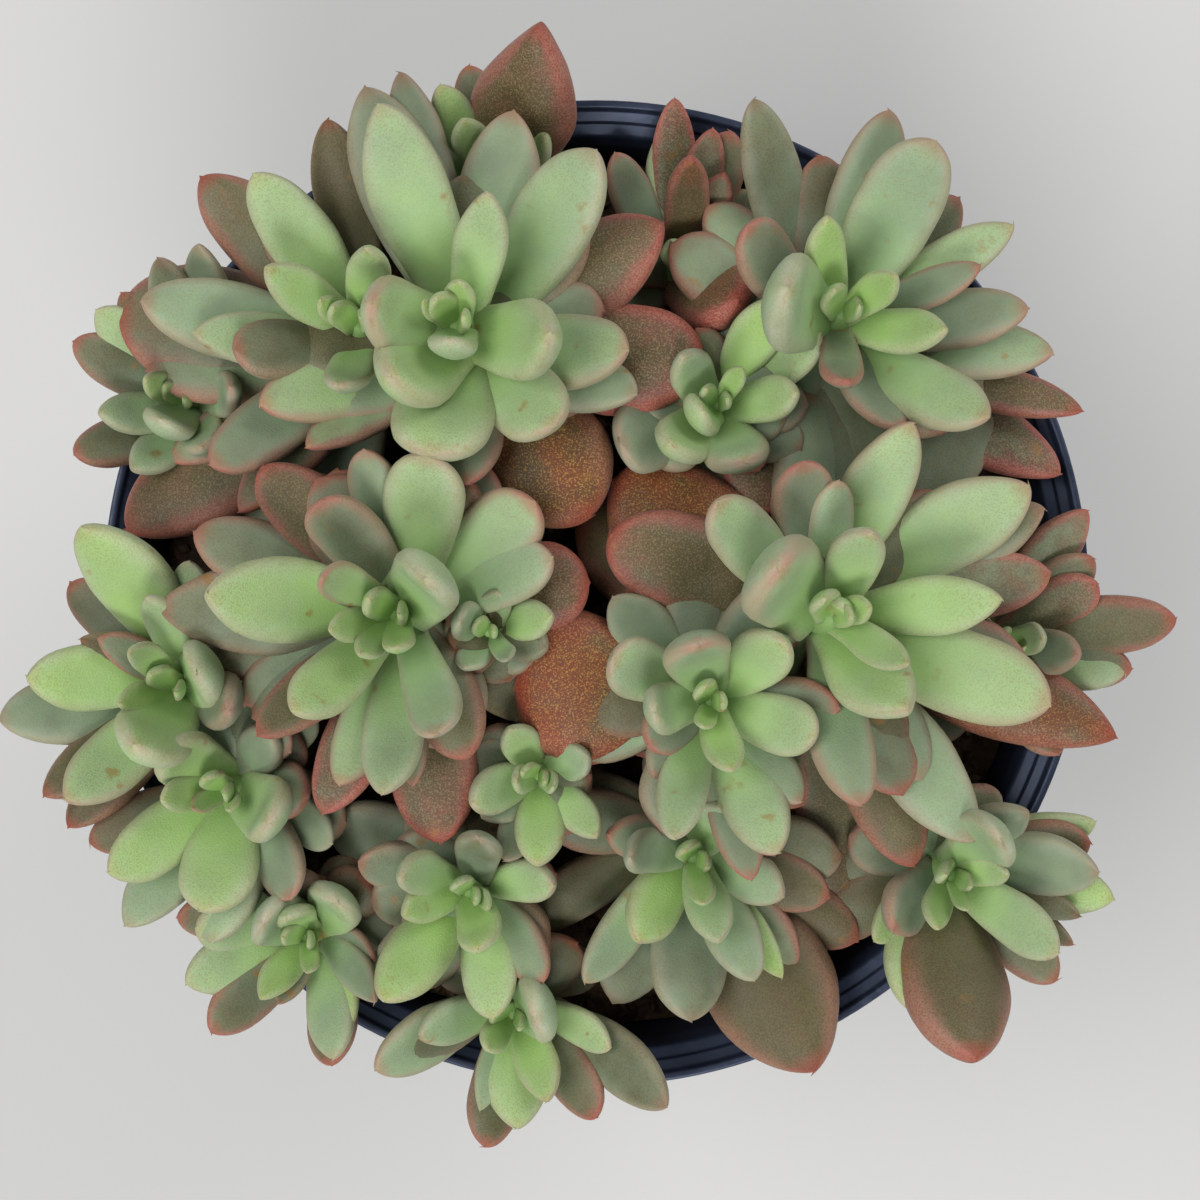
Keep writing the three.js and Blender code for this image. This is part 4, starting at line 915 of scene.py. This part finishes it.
def leaf_finish():
    """Green skin with its flush, margin and bloom (partly a painted sheen), painted shade at each
    leaf's foot, softly lit through, with a fine relief.
    """
    skin = LeafSkin()
    colour = skin.weathered(skin.edged(skin.flushed(skin.greens())))
    fine = skin.bump(skin.grain, 0.08, 0.7)
    return skin.shade(
        Base_Color=colour,
        Roughness=skin.step(skin.cloud, 0.3, 0.7, 0.46, 0.6),
        Normal=skin.bump(skin.mottle, 0.5, 0.3, fine),
        IOR=1.42,
        Subsurface_Weight=0.05,
        Subsurface_Radius=(0.7, 1.0, 0.35),
        Subsurface_Scale=1.2 * METRES,
        Specular_IOR_Level=0.36,
        Sheen_Weight=0.06,
        Sheen_Roughness=0.45,
        Sheen_Tint=srgb(226, 238, 224),
    )


def pot_finish():
    """Satin dark plastic, a little greyer where dust and light scuffs lie."""
    plastic = Finish("dark_satin_plastic")
    scuff = plastic.step(plastic.noise(1.4, 5), 0.45, 0.7)
    dust = plastic.times(scuff, plastic.step(plastic.noise(22, 3), 0.4, 0.65, 0.1, 0.6))
    return plastic.shade(
        Base_Color=plastic.mix(dust, (40, 46, 62), (54, 60, 76)),
        Roughness=plastic.step(dust, 0.0, 0.5, 0.34, 0.46),
        Normal=plastic.bump(plastic.noise(0.8, 3), 0.04, 0.4),
        IOR=1.5,
        Specular_Tint=srgb(200, 214, 244),
    )


def mix_finish(name, dark, pale):
    """Damp bark fines, with paler bits among them."""
    bark = Finish(name)
    fibre = bark.noise(0.7, 4)
    colour = bark.ramp(bark.noise(5, 2), [(0.3, dark), (0.55, (74, 56, 40)), (0.75, pale)])
    return bark.shade(
        Base_Color=bark.mix(bark.step(fibre, 0.35, 0.75, 0.0, 0.6), colour, (30, 22, 16)),
        Roughness=0.92,
        Normal=bark.bump(fibre, 0.4, 0.8),
        Specular_IOR_Level=0.25,
    )


# The rosettes


class Body:
    """The points, faces and skin values of one rosette as they gather."""

    def __init__(self):
        self.points, self.faces, self.values = [], [], []

    def add(self, points, rings, sides, values):
        first = sum(len(p) for p in self.points)
        self.faces += tube_faces(rings, sides, first)
        self.points.append(points)
        self.values.append(values)

    def finish(self, name, material):
        thing = mesh_object(name, np.concatenate(self.points), self.faces, material)
        values = np.concatenate(self.values)
        for column, attribute in enumerate(SKIN_VALUES):
            layer = thing.data.attributes.new(attribute, "FLOAT", "POINT")
            layer.data.foreach_set("value", values[:, column].astype(np.float32))
        return thing


def leaf_points(leaf, rings, sides, draw):
    """A plump leaf round its midrib: rounded margins, a keeled back and a face with a soft channel.
    draw gives each leaf its own twist, sweep and channel."""
    curve, side = leaf.midrib()
    t = 1 - (1 - np.arange(1, rings + 1) / (rings + 1)) ** RING_CROWDING
    centre = curve.point(t)
    along = curve.along(t)
    over = unit(np.cross(along, side))
    across = unit(np.cross(over, along))
    roll = math.radians(draw.gauss(0, TWIST)) * t
    cos, sin = np.cos(roll)[:, None], np.sin(roll)[:, None]
    across, over = across * cos + over * sin, over * cos - across * sin
    half_width = 0.5 * leaf.width * width_share(t, leaf.blunt, leaf.foot())
    half = leaf.thickness() * thick_share(t) * np.interp(leaf.width, SLIM_WIDTHS, SLIM_SHARES)
    centre = centre + across * (draw.gauss(0, SWEEP) * leaf.width * t**2)[:, None]

    steep = np.clip(STEEP_FROM - leaf.reach / (STEEP_REACH * leaf.head.scale), 0, 1)
    plump = np.clip((leaf.tone - PLUMP_TONE) / PLUMP_SPAN, 0, 1)
    depth = (CHANNEL + STEEP_CHANNEL * steep) * draw.uniform(*CHANNEL_SPREAD)
    channel = depth * smooth(t / 0.3) * smooth((1 - t) / 0.4)
    channel = channel * (1 - plump)
    theta = 2 * np.pi * np.arange(sides) / sides
    s, level = np.cos(theta), np.sin(theta)
    upright = abs(level)
    crest = (CREST + PLUMP_CREST * plump) * upright[None, :] ** CREST_POWER
    crest = crest - channel[:, None] * upright[None, :] ** CHANNEL_POWER
    keel = -(KEEL * upright**KEEL_POWER + KEEL_RIDGE * upright**KEEL_RIDGE_POWER)[None, :]
    height = np.where(level[None, :] >= 0, crest, keel) * half[:, None]
    wave = 1 + WAVE * np.sin(WAVES * t[:, None] + WAVE_SHIFT * draw.random() + np.sign(s)[None, :])
    width = half_width[:, None] * s[None, :] * wave
    grid = centre[:, None, :] + across[:, None, :] * width[..., None] + over[:, None, :] * height[..., None]
    end = curve.point(1) + curve.along(1) * TIP_POINT
    points = np.concatenate([[curve.point(0)], grid.reshape(-1, 3), [end]])

    ring_t = np.concatenate([[0], np.repeat(t, sides), [1]])
    edge = np.concatenate([[0], np.tile(abs(s), rings), [1]])
    under = np.concatenate([[1], np.tile((level < -0.05) * 1.0, rings), [0]])
    tone = leaf.tone + draw.gauss(0, TONE_SPREAD)
    blush = max(0, leaf.blush + draw.gauss(0, BLUSH_SPREAD))
    same = np.ones(len(points))
    values = np.stack([ring_t, edge, under, tone * same, blush * same, 0 * same], axis=1)
    return points, values


def undulate(points, seed):
    """A soft unevenness that keeps any two leaves from looking alike."""
    shift = np.array([
        noise.noise_vector(Vector(p) * UNDULATION_PITCH + Vector((seed, 0, 0))) for p in points.tolist()
    ])
    return points + shift * UNDULATION


def add_leaf(body, leaf, draw, small=False):
    small = small or leaf.width < SMALL_WIDTH
    rings, sides = (SMALL_RINGS, SMALL_SIDES) if small else (LEAF_RINGS, LEAF_SIDES)
    points, values = leaf_points(leaf, rings, sides, draw)
    body.add(undulate(points, UNDULATION_SHIFT * draw.random()), rings, sides, values)


def add_stem(body, head, draw):
    """The stem from the mix up to the crown, knobbly with old leaf scars, and the heart on top."""
    path = head.stem_path()
    t = np.linspace(0, 1, STEM_RINGS)
    centre = path.point(t)
    along = path.along(t)
    north = unit(np.cross(along, (1, 0, 0)))
    east = unit(np.cross(north, along))
    theta = 2 * np.pi * np.arange(STEM_SIDES) / STEM_SIDES
    swell = np.interp(t, STEM_PLACES, STEM_SHARES)
    turn = theta[None, :] * 2 + t[:, None] * SCAR_TWIST + 6 * draw.random()
    scars = np.sin(turn) * np.sin(t[:, None] * SCAR_RINGS)
    radius = head.stem_radius * swell[:, None] * (1 + SCAR_DEPTH * scars)
    ring = (
        centre[:, None, :]
        + east[:, None, :] * (radius * np.cos(theta))[..., None]
        + north[:, None, :] * (radius * np.sin(theta))[..., None]
    )
    points = np.concatenate([[centre[0]], ring.reshape(-1, 3), [centre[-1]]])
    same = np.ones(len(points))
    bark = 1 - smooth((t - BARK_ENDS_AT) / BARK_FADES_OVER)
    bark = np.concatenate([[1], np.repeat(bark, STEM_SIDES), [0]])
    values = np.stack([0 * same, 0.2 * same, 0 * same, 0.4 * same, 0.1 * same, bark], axis=1)
    body.add(points, STEM_RINGS, STEM_SIDES, values)


def buds(head, draw):
    """The smallest leaves, still folded together over the heart."""
    return [
        Leaf(
            head, GOLDEN_TURN * i + draw.uniform(-15, 15), (1.5 + 1.7 * i) * head.scale,
            (3.4 + 1.3 * i) * head.scale, (2.2 - 0.3 * i) * head.scale, 16, 0.1, 0.05, 0.1,
        )
        for i in range(BUD_COUNT)
    ]


def fillers(head, draw):
    """Older leaves below the ones that show, which close the gaps between the rosettes."""
    longest = max(leaf.reach for leaf in head.leaves)
    count = MANY_FILLERS if longest > FILL_FROM_REACH else FEW_FILLERS
    leaves = [
        Leaf(
            head, GOLDEN_TURN * i + draw.uniform(-20, 20) + 40, draw.uniform(0.55, 0.85) * longest,
            draw.uniform(10, 13) * head.scale, draw.uniform(-14, -9) * head.scale, 13, 0.6,
            draw.uniform(0.7, 1.3), draw.uniform(0.2, 0.6),
        )
        for i in range(count)
    ]
    return [leaf for leaf in leaves if np.hypot(*leaf.midrib()[0].point(1)[:2]) < FILL_RADIUS]


def rosettes(material):
    draw = random.Random(PLANT_SEED)
    noise.seed_set(PLANT_SEED)
    heads = [Head(*row) for row in HEADS]
    for head in heads:
        head.leaves += skirt(head, heads)
    leaves = [leaf for head in heads for leaf in head.leaves]
    settle(leaves, [True] * len(leaves))
    extra = [leaf for head in heads for leaf in fillers(head, draw)]
    by_name = {head.name: head for head in heads}
    extra += [Leaf(by_name[name], *row) for name, *row in LOW_LEAVES]
    settle(leaves + extra, [False] * len(leaves) + [True] * len(extra))
    for head in heads:
        body = Body()
        add_stem(body, head, draw)
        for leaf in head.leaves + buds(head, draw):
            add_leaf(body, leaf, draw)
        for leaf in extra:
            if leaf.head is head:
                add_leaf(body, leaf, draw, small=True)
        thing = body.finish(head.name + "_plant", material)
        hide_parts(head.name)
        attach(thing, "root")


# The pot


def rounded(corners):
    """A profile with each corner (radius, height, fillet) rounded by an arc of a few steps."""
    profile = [np.array(corners[0][:2], dtype=float)]
    for before, corner, after in zip(corners, corners[1:], corners[2:]):
        here = np.array(corner[:2], dtype=float)
        back = np.array(before[:2]) - here
        ahead = np.array(after[:2]) - here
        shorter = FILLET_SHARE * min(np.linalg.norm(back), np.linalg.norm(ahead))
        reach = min(corner[2], shorter)
        start, end = here + unit(back) * reach, here + unit(ahead) * reach
        for t in np.linspace(0, 1, FILLET_STEPS + 1):
            profile.append((1 - t) ** 2 * start + 2 * (1 - t) * t * here + t**2 * end)
    profile.append(np.array(corners[-1][:2], dtype=float))
    return profile


def pot_profile():
    """From the middle of the underside, out and up the wall, over the rim and down to the floor."""
    ring_inner = FOOT_RADIUS - FOOT_RING_WIDTH
    floor_edge = FLOOR_TOP + EDGE_CHAMFER
    lip_inner = RIM_RADIUS - RIM_LIP_WIDTH
    underside = [
        (0, 0, 0),
        (PAD_RADIUS, 0, 0.8),
        (PAD_RADIUS + EDGE_CHAMFER, FOOT_RECESS, 0.8),
        (ring_inner - EDGE_CHAMFER, FOOT_RECESS, 0.8),
        (ring_inner, 0, 0.8),
        (FOOT_RADIUS - 0.4, 0, 1.2),
        (wall_radius(2), 2, 0.8),
    ]
    collar = [
        (neck_radius, collar_foot, 0.8),
        (RIM_RADIUS - 1.3, collar_foot + 1.6, 1.2),
        (RIM_RADIUS - 0.3, POT_HEIGHT - 4.4, 2),
        (RIM_RADIUS, POT_HEIGHT - 3.4, 0.6),
    ]
    lip_and_band = [
        (RIM_RADIUS, POT_HEIGHT, 0.9),
        (lip_inner, POT_HEIGHT - 0.1, 0.5),
        (lip_inner - 0.3, POT_HEIGHT - 0.9, 0.3),
        (band_inner + 1.9, POT_HEIGHT - 1.5, 0.3),
        (band_inner + 1.7, POT_HEIGHT - 1.9, 0.3),
        (band_inner, POT_HEIGHT - 2.6, 0.5),
        (band_inner - 0.9, POT_HEIGHT - RIM_BAND_DROP - 2, 0.8),
    ]
    inside = [
        (inner_radius(collar_foot - 2), collar_foot - 2, 1.2),
        (inner_radius(floor_edge), floor_edge, 2),
        (inner_radius(FLOOR_TOP) - EDGE_CHAMFER, FLOOR_TOP, 2),
        (0, FLOOR_TOP, 0),
    ]
    return rounded(underside + collar + lip_and_band + inside)


def ringed(profile, sides):
    """Points of a profile of radii and heights turned about the Z axis, ring after ring."""
    theta = 2 * np.pi * np.arange(sides) / sides
    return [np.stack([r * np.cos(theta), r * np.sin(theta), z + 0 * theta], axis=1) for r, z in profile]


def pot(material):
    """The pot as one turned wall, with its drain holes cut through the floor."""
    profile = pot_profile()
    rings = ringed(profile[1:-1], POT_SIDES)
    points = np.concatenate([[[0, 0, profile[0][1]]], *rings, [[0, 0, profile[-1][1]]]])
    shell = mesh_object("nursery_pot", points, tube_faces(len(rings), POT_SIDES), material)
    pierce(shell)
    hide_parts("pot")
    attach(shell, "root")


def pierce(shell):
    """Cuts the ring of drain holes."""
    holes = Recipe("drain_holes", {
        "Holes": DRAIN_COUNT,
        "Circle": DRAIN_CIRCLE * METRES,
        "Radius": DRAIN_RADIUS * METRES,
        "Depth": 4 * FLOOR_TOP * METRES,
        "Turn": math.pi / DRAIN_COUNT,
    })
    given = holes.given
    ring = {"Vertices": given["Holes"], "Radius": given["Circle"]}
    ring = holes.add("GeometryNodeMeshCircle", "Mesh", ring)
    turn = holes.add("ShaderNodeCombineXYZ", "Vector", {"Z": given["Turn"]})
    ring = holes.add("GeometryNodeTransform", "Geometry", {"Geometry": ring, "Rotation": turn})
    drill = {"Vertices": DRILL_SIDES, "Radius": given["Radius"], "Depth": given["Depth"]}
    drill = holes.add("GeometryNodeMeshCylinder", "Mesh", drill)
    solids = {"Mesh 1": given["Geometry"], "Mesh 2": holes.copied(ring, drill)}
    holes.make(shell, holes.add("GeometryNodeMeshBoolean", "Mesh", solids, operation="DIFFERENCE"))


# The potting mix


def potting_mix():
    """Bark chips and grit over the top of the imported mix."""
    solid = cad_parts["soil"]
    solid.data.materials.clear()
    solid.data.materials.append(mix_finish("potting_mix_fines", (34, 25, 18), (96, 78, 58)))
    edge = inner_radius(soil_top) - CHIP_INSET
    radii = edge * np.arange(1, TOP_RINGS + 1) / TOP_RINGS
    dome = np.interp(radii / edge, [0, 0.7, 1], [SOIL_DOME, SOIL_DOME * 0.6, 0])
    height = soil_top + CHIP_OVER_MIX + dome
    middle = [0, 0, soil_top + SOIL_DOME + CHIP_OVER_MIX]
    points = np.concatenate([[middle], *ringed(zip(radii, height), TOP_SIDES)])
    faces = [(0, 1 + j, 1 + (j + 1) % TOP_SIDES) for j in range(TOP_SIDES)]
    for i in range(TOP_RINGS - 1):
        for j in range(TOP_SIDES):
            k = (j + 1) % TOP_SIDES
            near, far = 1 + i * TOP_SIDES, 1 + (i + 1) * TOP_SIDES
            faces.append((near + j, far + j, far + k, near + k))
    chip_skin = mix_finish("bark_chip", (44, 32, 23), (128, 108, 84))
    chips = mesh_object("bark_chips", points, faces, chip_skin)
    scatter(chips)
    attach(chips, "root")


def scatter(top):
    """Turns the top surface into a loose layer of chips, each with its own shape."""
    layer = Recipe("scattered_chips", {
        "Density": CHIPS_PER_SQUARE_METRE,
        "Size": CHIP_SIZE * METRES,
        "Seed": CHIP_SEED,
        "Roughness": CHIP_RELIEF * METRES,
    })
    given = layer.given
    seed = given["Seed"]

    def between(low, high):
        sockets = {"Min": low, "Max": high, "Seed": seed}
        return layer.add("FunctionNodeRandomValue", "Value", sockets, data_type="FLOAT_VECTOR")

    spread = {"Mesh": given["Geometry"], "Density": given["Density"], "Seed": seed}
    spread = layer.add("GeometryNodeDistributePointsOnFaces", "Points", spread)
    grain = {"Subdivisions": CHIP_SUBDIVISIONS, "Radius": given["Size"]}
    grain = layer.add("GeometryNodeMeshIcoSphere", "Mesh", grain)
    turn = between((0, 0, 0), (math.tau, math.tau, math.tau))
    loose = layer.copied(spread, grain, Rotation=turn, Scale=between(SMALLEST_CHIP, LARGEST_CHIP))
    rough = layer.add("ShaderNodeTexNoise", "Color", {"Scale": 1 / (CHIP_RELIEF_PITCH * METRES)})
    rough = {0: rough, 1: (0.5, 0.5, 0.5)}
    rough = layer.add("ShaderNodeVectorMath", "Vector", rough, operation="SUBTRACT")
    rough = {0: rough, "Scale": given["Roughness"]}
    rough = layer.add("ShaderNodeVectorMath", "Vector", rough, operation="SCALE")
    layer.make(top, layer.add("GeometryNodeSetPosition", "Geometry", {"Geometry": loose, "Offset": rough}))


# The view and the light


def camera():
    """The eye straight above the pot, where the photo was taken from."""
    eye = bpy.data.cameras.new("eye")
    eye.sensor_width = SENSOR
    eye.lens = SENSOR * EYE_ABOVE_RIM / FRAME_WIDTH_AT_RIM
    seat = bpy.data.objects.new("eye", eye)
    seat.location = (EYE_X * METRES, EYE_Y * METRES, (POT_HEIGHT + EYE_ABOVE_RIM) * METRES)
    bpy.context.collection.objects.link(seat)
    bpy.context.scene.camera = seat


def lamp(name, place, size, watts):
    """A soft disc lamp that faces the middle of the rim."""
    disc = bpy.data.lights.new(name, "AREA")
    disc.shape = "DISK"
    disc.size = size
    disc.energy = watts
    stand = bpy.data.objects.new(name, disc)
    stand.location = place
    stand.rotation_mode = "QUATERNION"
    aim = Vector((0, 0, POT_HEIGHT * METRES)) - Vector(place)
    stand.rotation_quaternion = aim.to_track_quat("-Z", "Y")
    bpy.context.collection.objects.link(stand)


def studio():
    """A pale paper floor under a soft sky, with three broad lamps: left, back right and front."""
    world = bpy.data.worlds.new("sky")
    world.use_nodes = True
    sky = world.node_tree.nodes["Background"]
    sky.inputs["Color"].default_value = (0.93, 0.96, 1, 1)
    sky.inputs["Strength"].default_value = SKY_STRENGTH
    bpy.context.scene.world = world
    bpy.context.scene.view_settings.view_transform = "Standard"
    for row in LAMPS:
        lamp(*row)
    paper = Finish("pale_paper").shade(Base_Color=srgb(188, 187, 185), Roughness=0.9)
    corners = [(x * FLOOR_REACH, y * FLOOR_REACH, 0) for x, y in ((-1, -1), (1, -1), (1, 1), (-1, 1))]
    mesh_object("floor", corners, [(0, 1, 2, 3)], paper)


camera()
studio()
pot(pot_finish())
potting_mix()
rosettes(leaf_finish())
